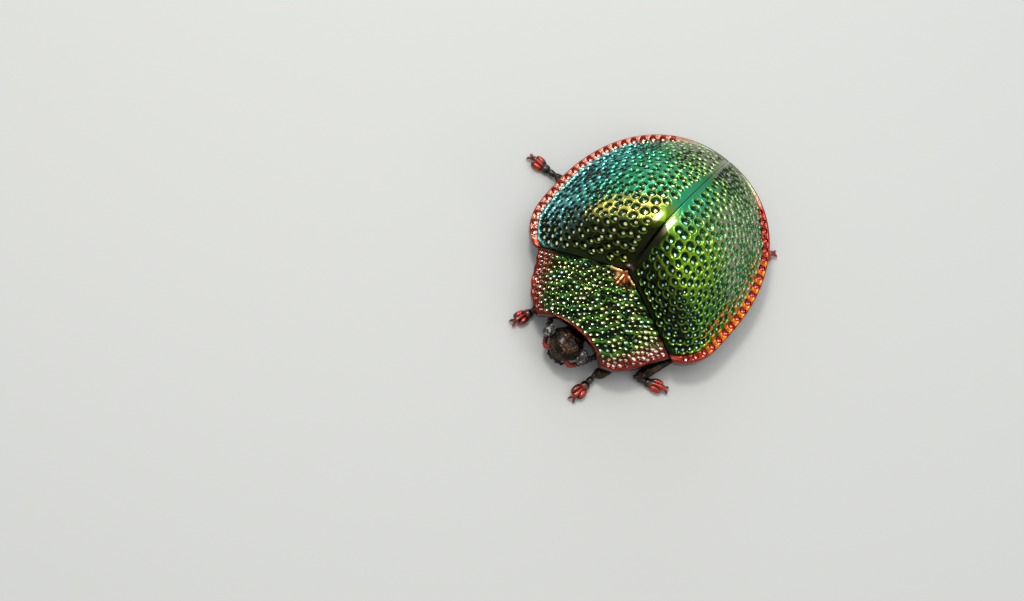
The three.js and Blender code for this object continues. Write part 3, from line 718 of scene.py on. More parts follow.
def shield_height(x, y):
    """An arch from side to side whose top climbs from the front edge to the hind lobe."""
    across = np.clip(np.abs(x) / shield_half(y), 0, 1)
    front = SHIELD_SIDE[-1][1]
    along = np.clip((y - front) / (base_line(0) - front), 0, 1)
    ridge = mix(SHIELD_FRONT_Z, SHIELD_HIND_Z, np.sin(along * math.pi / 2))
    return RIM_Z + (ridge - RIM_Z) * (1 - across**2.4)


def shield_relief(seed, pit_depth):
    """Small pits close together on ground with low askew swells, and a smooth hind lobe with a
    crest along its middle, a brink along its hind edge, and a hollow and a facet to each side. A
    pit is (1 - q^2)^1.2 deep, where q is the distance to the nearest pit over its radius, and a
    swell is a sine of the way across, bent by sines of the way along. The glint value is a painted
    highlight dot in each pit, two patches swayed from its middle, and the pit value takes in half
    the lobe's hollows, so that they get painted shade too."""

    def relief(points, u, v):
        """Depth of the relief and the values to store, at each point."""
        rng = np.random.default_rng(seed)
        flat = points.reshape(-1, 3)
        x, y = points[..., 0], points[..., 1]
        lobe = smooth((y + 0.92 - 0.62 * np.abs(x)) / 0.2) * smooth((1.15 - np.abs(x)) / 0.25)
        from_side = np.minimum(u, 1 - u) * SHIELD_WIDTH
        edge = np.minimum(from_side, np.minimum(v, 1 - v) * SHIELD_LENGTH)
        take = thinned((edge > 0.1) & (lobe < 0.3), SHIELD_THIN)
        ground = points[take]
        wide = np.full(len(ground), SHIELD_SPACING)
        chosen = spread(ground, areas_of(points)[take] * SHIELD_THIN**2, wide, rng)
        places = ground[chosen]
        radii = wide[chosen] * rng.uniform(*PIT_RADIUS, len(chosen))
        q = near(flat, places, radii)[0].reshape(x.shape)
        # Painted highlight dots: two patches in each pit, swayed from its middle.
        glint = np.zeros(x.size)
        glint_radii = radii * rng.uniform(0.3, 0.62, len(radii))
        for sway in SHIELD_SWAYS:
            shifted = places + np.array(sway) * radii[:, None]
            glint = np.maximum(glint, 1 - near(flat, shifted, glint_radii)[0])
        bowl = np.clip(1 - q**2, 0, 1) ** 1.2
        lip = 0.014 * bell(q, 1.15, 0.2)
        bead = 0.035 * bell(edge, 0.05, 0.05)
        crest = LOBE_RISE * bell(x, 0, 0.1) * smooth((y + 1.05) / 0.3)
        brink = LOBE_RISE * bell(y, base_line(x) - 0.2, 0.09) * smooth((1.35 - np.abs(x)) / 0.4)
        facet = 0.1 * bell(np.abs(x), 0.72, 0.16) * lobe
        hollow = mound(np.abs(x), y, (0.42, -0.5), (0.22, 0.2))
        across, along = SWELL_COS * y - SWELL_SIN * x, SWELL_COS * x + SWELL_SIN * y
        bend = 1.4 * np.sin(2.3 * along) + 1.1 * np.sin(5.1 * along + 2.0 * across)
        swell = 0.5 + 0.5 * np.sin(11.0 * across + bend)
        wave = 0.05 * (0.5 - swell) * (1 - lobe)
        side_border = 1 - smooth((from_side - 0.2) / 0.9)
        front_border = 1 - smooth((v * SHIELD_LENGTH - 0.02) / 0.3)
        depth = pit_depth * bowl - lip - bead - crest - brink - facet + 0.14 * hollow + wave + 0.02
        values = {
            # Half the lobe's hollows count as pit, so that painted shade falls in them.
            "pit": np.maximum(np.clip(1 - q, 0, 1), 0.5 * hollow),
            "border": np.maximum(side_border, front_border),
            "lobe": lobe,
            "swell": swell,
            "crest": np.clip((crest + brink + facet) / LOBE_RISE, 0, 1),
            "glint": np.clip(glint.reshape(x.shape), 0, 1) * (1 - lobe),
        }
        return depth, values

    return relief


def mesh_of(name, body):
    """A smooth-shaded mesh in metres in the row's frame, from a body in millimetres."""
    points = (body.points + ORIGIN) * MM
    corners = np.concatenate([body.quads.ravel(), body.triangles.ravel()])
    sizes = np.concatenate([np.full(len(body.quads), 4), np.full(len(body.triangles), 3)])
    mesh = bpy.data.meshes.new(name)
    mesh.vertices.add(len(points))
    mesh.vertices.foreach_set("co", points.ravel())
    mesh.loops.add(len(corners))
    mesh.loops.foreach_set("vertex_index", corners)
    mesh.polygons.add(len(sizes))
    mesh.polygons.foreach_set("loop_start", np.concatenate([[0], np.cumsum(sizes)[:-1]]))
    mesh.update(calc_edges=True)
    mesh.polygons.foreach_set("use_smooth", np.ones(len(sizes), dtype=bool))
    for key, value in body.values.items():
        mesh.attributes.new(key, "FLOAT", "POINT").data.foreach_set("value", value.astype(np.float32))
    return mesh


def add_piece(name, body, material, nodes):
    """Adds a piece that rides on the body, has a material and stands for CAD nodes."""
    piece = bpy.data.objects.new(name, mesh_of(name, body))
    bpy.context.scene.collection.objects.link(piece)
    piece.data.materials.append(material)
    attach(piece, "root")
    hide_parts(*nodes)
    return piece


class Finish:
    """A material whose nodes are added one call at a time; each call returns the new output."""

    def __init__(self, name, roughness, metallic, coat=0.0):
        self.material = bpy.data.materials.new(name)
        self.material.use_nodes = True
        self.tree = self.material.node_tree
        self.shader = self.tree.nodes["Principled BSDF"]
        self.shader.inputs["Metallic"].default_value = metallic
        self.shader.inputs["Roughness"].default_value = roughness
        self.shader.inputs["Coat Weight"].default_value = coat
        self.shader.inputs["Coat Roughness"].default_value = 0.08
        self.normal = None

    def put(self, socket, value):
        """Links an output to a socket, or sets the socket to a plain value."""
        if isinstance(value, bpy.types.NodeSocket):
            self.tree.links.new(value, socket)
        else:
            socket.default_value = value

    def paint(self, socket, value):
        """The same for a colour, which gets its fourth component here where it is plain."""
        self.put(socket, value if isinstance(value, bpy.types.NodeSocket) else (*value, 1))

    def place(self, centre=(0, 0, 0)):
        """Object coordinates in millimetres in the beetle's own frame, from a centre."""
        mapping = self.tree.nodes.new("ShaderNodeMapping")
        mapping.inputs["Scale"].default_value = (1 / MM, 1 / MM, 1 / MM)
        mapping.inputs["Location"].default_value = tuple(-(ORIGIN + np.array(centre)))
        coordinates = self.tree.nodes.new("ShaderNodeTexCoord")
        self.tree.links.new(coordinates.outputs["Object"], mapping.inputs["Vector"])
        return mapping.outputs["Vector"]

    def across_and_along(self, vector):
        """The x and the y of a vector."""
        node = self.tree.nodes.new("ShaderNodeSeparateXYZ")
        self.put(node.inputs[0], vector)
        return node.outputs[0], node.outputs[1]

    def distance(self, centre):
        """Distance from a centre in millimetres."""
        node = self.tree.nodes.new("ShaderNodeVectorMath")
        node.operation = "LENGTH"
        self.put(node.inputs[0], self.place(centre))
        return node.outputs["Value"]

    def attribute(self, name):
        """A value that the mesh stores for each point."""
        node = self.tree.nodes.new("ShaderNodeAttribute")
        node.attribute_name = name
        return node.outputs["Fac"]

    def maths(self, operation, first, *others):
        """An operation on two values, carried on with each further value from left to right."""
        for other in others:
            node = self.tree.nodes.new("ShaderNodeMath")
            node.operation = operation
            self.put(node.inputs[0], first)
            self.put(node.inputs[1], other)
            first = node.outputs[0]
        return first

    def plus(self, *values):
        """The sum of the values."""
        return self.maths("ADD", *values)

    def times(self, *values):
        """The product of the values, so of shares: where all of them hold."""
        return self.maths("MULTIPLY", *values)

    def most(self, *values):
        """The largest of the values, so of shares: where any of them holds."""
        return self.maths("MAXIMUM", *values)

    def apart(self, value, middle):
        """How far a value is from a middle one: the root of (value - middle)^2."""
        off = self.maths("SUBTRACT", value, middle)
        return self.maths("ABSOLUTE", off, 0.0)

    def span(self, value, low, high):
        """0 below low, 1 above high and a smooth climb between; low may be the larger."""
        node = self.tree.nodes.new("ShaderNodeMapRange")
        node.interpolation_type = "SMOOTHSTEP"
        self.put(node.inputs["Value"], value)
        node.inputs["From Min"].default_value = min(low, high)
        node.inputs["From Max"].default_value = max(low, high)
        node.inputs["To Min"].default_value = 0.0 if low < high else 1.0
        node.inputs["To Max"].default_value = 1.0 if low < high else 0.0
        return node.outputs["Result"]

    def blend(self, a, b, factor):
        """Colour a where the factor is 0, b where it is 1, and in proportion between."""
        node = self.tree.nodes.new("ShaderNodeMix")
        node.data_type = "RGBA"
        self.put(node.inputs["Factor"], factor)
        self.paint(node.inputs[6], a)
        self.paint(node.inputs[7], b)
        return node.outputs[2]

    def noise(self, vector, scale, detail=3.0):
        """Cloudy noise, with that many spots in a millimetre."""
        node = self.tree.nodes.new("ShaderNodeTexNoise")
        self.put(node.inputs["Vector"], vector)
        node.inputs["Scale"].default_value = scale
        node.inputs["Detail"].default_value = detail
        return node.outputs["Fac"]

    def cells(self, vector, scale):
        """Distance to the middle of the nearest of scattered cells."""
        node = self.tree.nodes.new("ShaderNodeTexVoronoi")
        self.put(node.inputs["Vector"], vector)
        node.inputs["Scale"].default_value = scale
        return node.outputs["Distance"]

    def bump(self, height, depth, strength=1.0):
        """Adds a relief of that depth in millimetres to the shader's normal."""
        node = self.tree.nodes.new("ShaderNodeBump")
        node.inputs["Strength"].default_value = strength
        node.inputs["Distance"].default_value = depth * MM
        self.put(node.inputs["Height"], height)
        if self.normal is not None:
            self.tree.links.new(self.normal, node.inputs["Normal"])
        self.normal = node.outputs["Normal"]
        self.tree.links.new(self.normal, self.shader.inputs["Normal"])

    def colour(self, value):
        """Sets the colour of the surface."""
        self.paint(self.shader.inputs["Base Color"], value)

    def rough(self, vector, scale, reach, least):
        """Sets a roughness of least + reach * noise of that scale."""
        value = self.plus(self.times(self.noise(vector, scale), reach), least)
        self.put(self.shader.inputs["Roughness"], value)


def wing_finish(look):
    """Metallic green that turns mint behind the hump. Over it, the teal and blue on the right and the
    pale left flank are painted reflection of the surroundings, the dark front slope is painted
    shade and dark reflection, and the gold along the suture on the hump is painted highlight. The
    pit floors are painted darker as shade inside a lime wall, each with a painted highlight dot,
    and the rim is copper, more orange on the left and paler on the right. A zone is a product of
    climbs between two values of x, y or slope, and noise sways x in the wide ones."""
    f = Finish("wing_lustre", 0.26, 1.0, coat=0.1)
    here = f.place()
    x, y = f.across_and_along(here)
    swayed = f.plus(x, f.times(f.plus(f.noise(here, 0.8), 0.2), 2.4))
    slope = f.attribute("slope")
    pit = f.attribute("pit")
    streak = f.attribute("streak")
    edge = f.times(f.attribute("rim"), f.span(y, 8.7, 7.9))

    # The front slope with the right shoulder and the left hollow, which take painted shade and dark
    # reflection, the flank and the tail.
    shoulder = f.times(f.span(slope, 2.4, 1.3), f.span(x, -1.6, -3.2))
    hollow = f.span(f.distance(SHOULDER_HOLLOW), 1.15, 0.6)
    front = f.most(f.span(slope, 1.2, 0.75), shoulder, hollow)
    flank = f.times(f.span(swayed, 2.3, 4.2), f.span(y, 1.5, 4.0))
    pale = f.most(flank, f.times(f.span(y, 5.8, 7.8), 0.85))

    # The ground between the pits. The teal and blue on the right and the pale left flank are painted
    # reflection of the surroundings over the green.
    green = f.blend(look.green, look.teal, f.span(swayed, 2.0, -0.8))
    right_flank = f.times(f.span(swayed, -0.8, -3.2), f.span(y, 8.5, 3.0))
    green = f.blend(green, look.blue, right_flank)
    middle = f.times(f.span(x, 1.7, 0.7), f.span(x, -3.6, -1.2))
    green = f.blend(green, look.mint, f.times(middle, f.span(y, 1.9, 2.7), f.span(y, 7.5, 4.5)))
    green = f.blend(green, look.pale_net, pale)
    ridge = f.times(f.span(slope, 1.75, 1.2), f.span(x, 0.6, -0.4), 0.5)
    green = f.blend(green, look.ridge, ridge)
    # A painted glow round the hump's highlight, then two painted highlights in gold beside the suture.
    hump = f.times(f.span(f.distance(HUMP_GLOW), 1.5, 0.3), 0.85)
    green = f.blend(green, look.lime, hump)
    for spot_x, spot_y, half in HUMP_HIGHLIGHTS:
        spot = f.times(f.span(f.apart(x, spot_x), 0.17, 0.07), f.span(f.apart(y, spot_y), half, half * 0.4))
        green = f.blend(green, look.gold, spot)
    # Painted shade and dark reflection for the front slope, flecked with specks of the ridge's colour.
    specks = f.times(f.span(f.noise(here, 28.0, 2.0), 0.64, 0.74), 0.4)
    dark = f.blend(look.shade_green, look.ridge, specks)
    green = f.blend(green, dark, f.times(front, 0.95))

    # The rim.
    left = f.times(f.attribute("glow"), f.span(x, 0.0, 2.0))
    pale_rib = f.times(f.span(streak, 0.25, 0.8), f.span(x, 3.0, -2.0))
    copper = f.blend(look.copper, look.pale_rim, pale_rib)
    copper = f.blend(copper, look.orange, f.times(left, f.span(streak, 0.15, 0.75)))
    body = f.blend(green, copper, edge)

    # The walls of the pits, and the net that the lips make between them.
    wall = f.times(f.span(pit, -0.02, 0.08), f.span(pit, 0.3, 0.14), f.span(swayed, -2.5, 1.5))
    # On the front slope the lime walls dull towards the painted shade.
    lime = f.blend(f.blend(look.lime, look.pale_net, pale), green, f.times(front, 0.5))
    lime = f.blend(lime, copper, edge)
    body = f.blend(body, lime, wall)
    net = f.times(f.span(pit, -0.55, -0.12), f.span(pit, 0.25, 0.05))
    lime_net = f.span(f.distance(LIME_NET), 2.5, 0.8)
    body = f.blend(body, look.lime, f.times(net, lime_net))
    crest = f.times(f.span(slope, 2.2, 1.5), f.span(slope, 0.85, 1.3))
    crest = f.times(crest, f.span(x, -0.4, -0.9), f.span(x, -3.6, -2.6))
    body = f.blend(body, look.crest_gold, f.times(net, crest, 0.85))
    # The blue net on the right flank is painted reflection too.
    blue_net = f.times(f.span(swayed, -1.2, -3.6), f.maths("SUBTRACT", 1.0, edge))
    body = f.blend(body, look.blue_net, f.times(net, blue_net, 0.8))
    body = f.blend(body, look.orange, f.times(left, f.span(streak, 0.3, 0.85), 0.85))

    # The floors of the pits, painted darker as shade, and the painted highlight dot in each, shown where
    # noise allows and all along the rim.
    floor_colour = f.blend(f.blend(look.pit, look.green, flank), look.copper_pit, edge)
    body = f.blend(body, floor_colour, f.times(f.span(pit, 0.08, 0.3), 0.95))
    rim_spark = f.blend(look.pink_spark, look.rose_spark, f.span(x, -0.5, 1.5))
    spark = f.blend(f.blend(look.spark, look.warm_spark, f.span(x, 0.2, -0.4)), rim_spark, edge)
    seen = f.most(f.span(f.noise(here, 2.2), 0.2, 0.5), edge)
    glint = f.times(f.span(f.attribute("glint"), 0.0, 0.4), seen)
    f.colour(f.blend(body, spark, glint))
    f.rough(here, 6.0, 0.12, 0.1)
    f.bump(f.noise(here, 14.0, 4.0), 0.01)
    return f.material


def shield_finish(look):
    """Dark metallic green with golden-green walls between the pits and a painted sheen on the swells,
    and copper borders and lobe with painted highlight in gold along the lobe's ridges and on a
    patch of it. The pit floors and the lobe's hollows are painted dark as shade, and each pit has a
    painted highlight dot."""
    f = Finish("shield_lustre", 0.26, 1.0, coat=0.1)
    here = f.place()
    pit = f.attribute("pit")
    border = f.attribute("border")
    wall = f.times(f.span(pit, 0.0, 0.1), f.span(pit, 0.5, 0.2))
    gold_wall = f.times(wall, f.span(f.noise(here, 1.1), 0.25, 0.6))
    green = f.blend(look.shield_green, look.shield_gold, gold_wall)
    # A painted sheen on the crests of the swells.
    sheen = f.times(f.span(f.attribute("swell"), 0.55, 0.95), f.span(f.noise(here, 2.0), 0.3, 0.6), 0.8)
    green = f.blend(green, look.shield_sheen, sheen)
    light_wall = f.times(wall, f.span(f.noise(here, 5.0), 0.4, 0.6))
    copper = f.blend(look.dark_copper, look.copper_light, light_wall)
    body = f.blend(green, copper, border)
    # Painted highlight in gold on the lobe's ridges and on a patch of it.
    ridges = f.times(f.span(f.attribute("crest"), 0.5, 1.0), f.span(f.noise(here, 4.0), 0.4, 0.55))
    lobe = f.blend(look.lobe, look.lobe_gold, ridges)
    lobe = f.blend(lobe, look.lobe_gold, f.span(f.distance(LOBE_HIGHLIGHT), 0.32, 0.12))
    body = f.blend(body, lobe, f.attribute("lobe"))
    # Painted shade on the pit floors and in the lobe's hollows, then the painted highlight dots.
    body = f.blend(body, look.pit, f.times(f.span(pit, 0.1, 0.4), 0.95))
    spark = f.blend(look.gold_spark, look.spark, f.span(f.noise(here, 1.6), 0.45, 0.6))
    spark = f.blend(spark, look.pink_spark, border)
    seen = f.span(f.noise(here, 2.6), 0.34, 0.55)
    glint = f.times(f.span(f.attribute("glint"), 0.0, 0.4), seen)
    f.colour(f.blend(body, spark, glint))
    f.rough(here, 8.0, 0.12, 0.1)
    f.bump(f.noise(here, 16.0, 4.0), 0.01)
    return f.material


def dark_finish(look):
    """Blackish bronze with copper flecks, fine leathery wrinkles and scattered shallow dots."""
    f = Finish("dark_bronze", 0.32, 0.95, coat=0.1)
    here = f.place()
    brown = f.blend(look.black, look.bronze, f.span(f.noise(here, 2.2), 0.35, 0.75))
    f.colour(f.blend(brown, look.fleck, f.span(f.noise(here, 3.6, 2.0), 0.6, 0.72)))
    f.rough(here, 9.0, 0.3, 0.22)
    f.bump(f.cells(here, 6.5), 0.07)
    f.bump(f.noise(here, 22.0, 4.0), 0.012, 0.8)
    return f.material


def leg_finish(look):
    """Near black at the ankle, blotched with dark red towards the toe, with a fine grain."""
    f = Finish("leg_bronze", 0.28, 0.85, coat=0.5)
    here = f.place()
    blotch = f.span(f.noise(here, 1.8), 0.3, 0.62)
    f.colour(f.blend(look.black, look.leg_red, f.times(blotch, f.attribute("tip"))))
    f.rough(here, 10.0, 0.2, 0.17)
    f.bump(f.noise(here, 18.0, 4.0), 0.02)
    return f.material


def feeler_finish(look):
    """Reddish brown at the root and near black towards the tip, with fine down as a rough grain."""
    f = Finish("feeler_brown", 0.4, 0.3)
    here = f.place()
    f.colour(f.blend(look.feeler_red, look.black, f.attribute("tip")))
    f.rough(here, 12.0, 0.3, 0.25)
    f.bump(f.noise(here, 26.0, 4.0), 0.02)
    return f.material


def eye_finish(look):
    """Near black gloss with scattered paler facets that are painted sparkles of light, over a fine net of
    facets.
    """
    f = Finish("eye_gloss", 0.3, 0.5, coat=0.3)
    here = f.place()
    dark = f.blend(look.eye, look.black, f.span(f.noise(here, 2.5), 0.4, 0.7))
    # The paler facets are painted sparkles of light.
    paler = f.times(f.span(f.noise(here, 7.0, 2.0), 0.52, 0.62), 0.8)
    f.colour(f.blend(dark, look.facet, paler))
    f.rough(here, 10.0, 0.15, 0.25)
    f.bump(f.cells(here, 22.0), 0.02, 0.9)
    return f.material


def pad_finish(look):
    """Pale golden hair with reddish places."""
    f = Finish("pad_hair", 0.55, 0.0)
    here = f.place()
    f.colour(f.blend(look.hair, look.leg_red, f.span(f.noise(here, 5.0), 0.5, 0.8)))
    f.rough(here, 20.0, 0.2, 0.4)
    return f.material


def hue(name, text, default):
    """A colour property with linear components."""
    return bpy.props.FloatVectorProperty(
        name=name, description=text, default=default, subtype="COLOR", size=3, min=0, max=1
    )


class BeetleLook(bpy.types.PropertyGroup):
    """The colours of the beetle's finishes."""

    green: hue("Green", "Wing cases on the left", (0.0091, 0.12, 0.015))
    # Teal, blue, pale net and blue net are painted reflection of the surroundings over the green.
    teal: hue("Teal", "Wing cases on the right", (0.0095, 0.25, 0.12))
    blue: hue("Blue", "The right flank", (0.035, 0.22, 0.2))
    mint: hue("Mint", "The ground beside the suture behind the hump", (0.027, 0.32, 0.14))
    pale_net: hue("Pale net", "The net between the pits of the left flank", (0.24, 0.27, 0.16))
    blue_net: hue("Blue net", "The net between the pits of the right flank", (0.16, 0.49, 0.47))
    pale_rim: hue("Pale rim", "Between the pits of the right rim", (0.42, 0.15, 0.099))
    # Gold is the painted highlight beside the suture on the hump.
    gold: hue("Gold", "Beside the suture on the hump", (1.0, 0.92, 0.45))
    ridge: hue("Ridge", "The crest from the hump to the right shoulder", (0.27, 0.27, 0.023))
    crest_gold: hue("Crest gold", "The net between the pits on that crest", (0.75, 0.6, 0.1))
    # The next colour is painted shade and dark reflection on the slope in front of the hump.
    shade_green: hue("Deep green", "The slope in front of the hump", (0.0045, 0.004, 0.001))
    copper: hue("Copper", "The rim", (0.23, 0.024, 0.015))
    copper_light: hue("Light copper", "Walls between the pits of the shield's border", (0.46, 0.15, 0.076))
    orange: hue("Orange copper", "The left rim", (0.57, 0.13, 0.011))
    lime: hue("Lime", "The walls of the pits", (0.17, 0.29, 0.0076))
    # The two pit colours paint the pit floors darker, as shade.
    pit: hue("Pit", "The floor of the pits", (0.001, 0.01, 0.007))
    copper_pit: hue("Copper pit", "The floor of the pits on the rim", (0.23, 0.015, 0.011))
    # The next colour is a painted sheen on the shield's swells.
    shield_sheen: hue("Shield sheen", "The swells of the shield", (0.05, 0.17, 0.012))
    dark_copper: hue("Dark copper", "The shield's border", (0.13, 0.014, 0.01))
    # The sparks are the colours of the painted highlight dots in the pits.
    rose_spark: hue("Rose spark", "The bright dot in a pit of the left rim", (1.0, 0.5, 0.5))
    spark: hue("Spark", "The bright dot in a pit, on the left wing case", (0.6, 1.0, 0.7))
    warm_spark: hue("Warm spark", "The same on the right wing case", (1.0, 0.92, 0.48))
    pink_spark: hue("Pink spark", "The same on the right rim and the shield's border", (1.0, 0.8, 0.7))
    gold_spark: hue("Gold spark", "The same on the shield", (1.0, 0.95, 0.4))
    shield_green: hue("Shield green", "Most of the shield", (0.0012, 0.006, 0.0012))
    shield_gold: hue("Shield gold", "Walls between the shield's pits", (0.04, 0.064, 0.0048))
    lobe: hue("Lobe", "The shield's smooth hind lobe", (0.27, 0.053, 0.015))
    # The next colour is painted highlight on the hind lobe's ridges and on a patch of it.
    lobe_gold: hue("Lobe gold", "Golden places on the hind lobe", (0.95, 0.6, 0.25))
    black: hue("Black", "The darkest cuticle", (0.008, 0.006, 0.004))
    bronze: hue("Bronze", "Head and underside", (0.045, 0.026, 0.013))
    fleck: hue("Fleck", "Copper flecks on head and underside", (0.12, 0.04, 0.015))
    leg_red: hue("Leg red", "The feet", (0.36, 0.025, 0.01))
    feeler_red: hue("Feeler red", "The roots of the feelers", (0.2, 0.014, 0.006))
    eye: hue("Eye", "The eyes", (0.0075, 0.006, 0.006))
    # The next colour is the painted sparkle of the eyes.
    facet: hue("Facet", "Brighter facets of the eyes", (0.35, 0.33, 0.3))
    hair: hue("Hair", "The pads under the feet", (0.7, 0.55, 0.28))


class BeetleShape(bpy.types.PropertyGroup):
    """Sizes of the fine forms that the solids leave out."""

    pit_depth: bpy.props.FloatProperty(
        name="Wing pit depth",
        description="Depth of a wing case's larger pits in millimetres",
        default=0.14,
        min=0.02,
        max=0.3,
    )
    shield_pit_depth: bpy.props.FloatProperty(
        name="Shield pit depth",
        description="Depth of the shield's pits in millimetres",
        default=0.085,
        min=0.01,
        max=0.2,
    )
    seed: bpy.props.IntProperty(name="Seed", description="Draw of the pits' places", default=7, min=0)


class BEETLE_OT_wing_cases(bpy.types.Operator):
    """Adds the two pitted wing cases"""

    bl_idname = "beetle.wing_cases"
    bl_label = "Wing cases"

    def execute(self, context):
        shape = context.scene.beetle_shape
        material = wing_finish(context.scene.beetle_look)
        columns, rows = 250, 330
        # sway moves each pit's painted highlight dot off its middle; rim_glint sizes that dot on the rim.
        for side, seed, sway, rim_glint in (
            ("left", shape.seed, (0.26, -0.3, 0), 0.42),
            ("right", shape.seed + 1, (-0.3, 0, 0), 0.66),
        ):
            relief = wing_relief(seed, shape.pit_depth, sway, rim_glint)
            body = shell(wing_plan(), fine_wing_height, WING_THICKNESS, columns, rows, relief)
            body = body if side == "left" else body.mirrored()
            add_piece(f"wing_case_{side}_skin", body, material, [f"wing_case_{side}"])
        return {"FINISHED"}


class BEETLE_OT_shield(bpy.types.Operator):
    """Adds the shield over the fore body, with its small pits and smooth hind lobe"""

    bl_idname = "beetle.shield"
    bl_label = "Shield"

    def execute(self, context):
        shape = context.scene.beetle_shape
        material = shield_finish(context.scene.beetle_look)
        relief = shield_relief(shape.seed + 2, shape.shield_pit_depth)
        columns, rows = 330, 220
        body = shell(shield_plan(), shield_height, SHIELD_THICKNESS, columns, rows, relief)
        add_piece("shield_skin", body, material, ["shield"])
        return {"FINISHED"}


class BEETLE_OT_scutellum(bpy.types.Operator):
    """Adds the small three-cornered plate between the shield and the wing cases"""

    bl_idname = "beetle.scutellum"
    bl_label = "Scutellum"

    def execute(self, context):
        front_half, tip_half = 0.56, 0.02
        front_y, tip_y = 0.14, 1.12
        bow = 0.2
        thickness = 0.4

        def place(u, v):
            """A triangle whose front edge is bowed by a parabola."""
            half = mix(front_half, tip_half, v)
            return mix(-half, half, u), mix(front_y, tip_y, v) - bow * (2 * u - 1) ** 2 * (1 - v)

        def top(x, y):
            """A plate that rises evenly towards its tip and falls with x^2 to its sides."""
            return 3.24 + 0.75 * (y - 0.12) - 0.35 * x**2

        def relief(points, u, v):
            """A dish inside a raised border, with a painted highlight in gold along the right edge; the rest
            of the plate is darkened through its pit value.
            """
            edge = np.minimum(np.minimum(u, 1 - u), np.minimum(v, 1 - v))
            dish = 0.1 * smooth(edge / 0.25) - 0.03
            # brow has no relief of its own: it marks the painted highlight along the right edge.
            brow = 1 - smooth(u / 0.12)
            none = 0 * u
            values = {
                "pit": 0.36 * (1 - brow),
                "border": none + 1,
                "lobe": 0.5 * brow,
                "crest": brow,
                "glint": none,
                "swell": none,
            }
            return dish, values

        material = bpy.data.materials.get("shield_lustre") or shield_finish(context.scene.beetle_look)
        body = shell(place, top, thickness, 30, 40, relief)
        add_piece("scutellum_skin", body, material, ["scutellum"])
        return {"FINISHED"}


def brow_and_groove(points):
    """The skull's points with a groove along the middle of its top and a brow to each side in
    front. Both are bells of x that fade out below, and the brows fade out behind as well."""
    x, y, z = points.T
    groove = 0.05 * bell(x, 0, 0.05) * smooth((z - 1.4) / 0.3)
    brow = 0.05 * bell(np.abs(x), 0.35, 0.1) * smooth((z - 1.35) / 0.2) * smooth((-4.3 - y) / 0.2)
    return np.stack([x, y + brow * 0.5, z - groove + brow * 0.4], -1)


def tapered(points, count, width, height, sides):
    """A limb along a smooth path, whose half width and half height change evenly from root to tip."""
    return swept(curve(points, count), np.linspace(*width, count), np.linspace(*height, count), sides)


class BEETLE_OT_head(bpy.types.Operator):
    """Adds the head with its brow, face and mouthparts"""

    bl_idname = "beetle.head"
    bl_label = "Head"

    def execute(self, context):
        parts = [star((0, -4.15, 1.35), HEAD_LUMPS, 160, 120, 18.0, brow_and_groove)]
        for side in (1, -1):
            flip = (side, 1, 1)
            parts.append(tapered(JAW_WAY * flip, 16, (0.13, 0.04), (0.1, 0.04), 14))
            beads = 0.055 + 0.02 * np.abs(np.sin(np.linspace(0, 3 * math.pi, 22)))
            beads[-1] = 0.02
            parts.append(swept(curve(PALP_WAY * flip, 22), beads, beads, 12))
            parts.append(tapered(SOCKET_WAY * flip, 8, (0.2, 0.16), (0.2, 0.16), 20))
        lip = ball((0, -4.86, 0.98), (0.3, 0.14, 0.13), 40, 24)
        parts.append(lip)
        add_piece("head_skin", joined(parts), dark_finish(context.scene.beetle_look), ["head"])
        return {"FINISHED"}


class BEETLE_OT_eyes(bpy.types.Operator):
    """Adds the two eyes"""

    bl_idname = "beetle.eyes"
    bl_label = "Eyes"

    def execute(self, context):
        material = eye_finish(context.scene.beetle_look)
        turn, share = 0.25, 0.88
        for name, side in (("left", 1), ("right", -1)):
            body = ball((0, 0, 0), EYE_HALF * share, 72, 48)
            body.points = turned(body.points, side * turn) + EYE * (side, 1, 1)
            add_piece(f"eye_{name}_gloss", body, material, [f"eye_{name}"])
        return {"FINISHED"}


class BEETLE_OT_feelers(bpy.types.Operator):
    """Adds the two feelers of eleven beaded joints, folded back under the shield"""

    bl_idname = "beetle.feelers"
    bl_label = "Feelers"

    def execute(self, context):
        material = feeler_finish(context.scene.beetle_look)
        steps, sides = 221, 20
        for name, side in (("left", 1), ("right", -1)):
            path = curve(FEELER_WAY * (side, 1, 1), steps)
            s = np.linspace(0, FEELER_JOINTS, steps)
            bead = np.abs(np.sin(np.clip(s, 0.02, FEELER_JOINTS - 0.02) * math.pi)) ** 0.45
            girth = np.interp(s, [0, 1, 2, 5, 7, 10, 11], [0.17, 0.15, 0.12, 0.13, 0.16, 0.16, 0.1])
            radius = girth * mix(0.55, 1.0, bead)
            body = swept(path, radius, radius, sides)
            body.values = {"tip": np.append(np.repeat(smooth((s - 2) / 5), sides), [0, 1])}
            add_piece(f"feeler_{name}_skin", body, material, [f"feeler_{name}"])
        return {"FINISHED"}


def belly_height(x, y):
    """The underside: a shallow bowl that climbs with the cube of the way from its middle, stepped
    into plates at the tail and furrowed along the middle line in front of them."""
    bowl = 0.92 + 0.34 * np.hypot(x / 4.4, (y - HUMP_Y) / 6.1) ** 3
    plate = ((y - PLATES_START) / PLATE_LENGTH) % 1.0
    step = np.where(y > PLATES_START, 0.1 * plate**3, 0.0)
    furrow = np.where(y < PLATES_START, 0.05 * bell(x, 0, 0.06), 0.0)
    return bowl + step + furrow


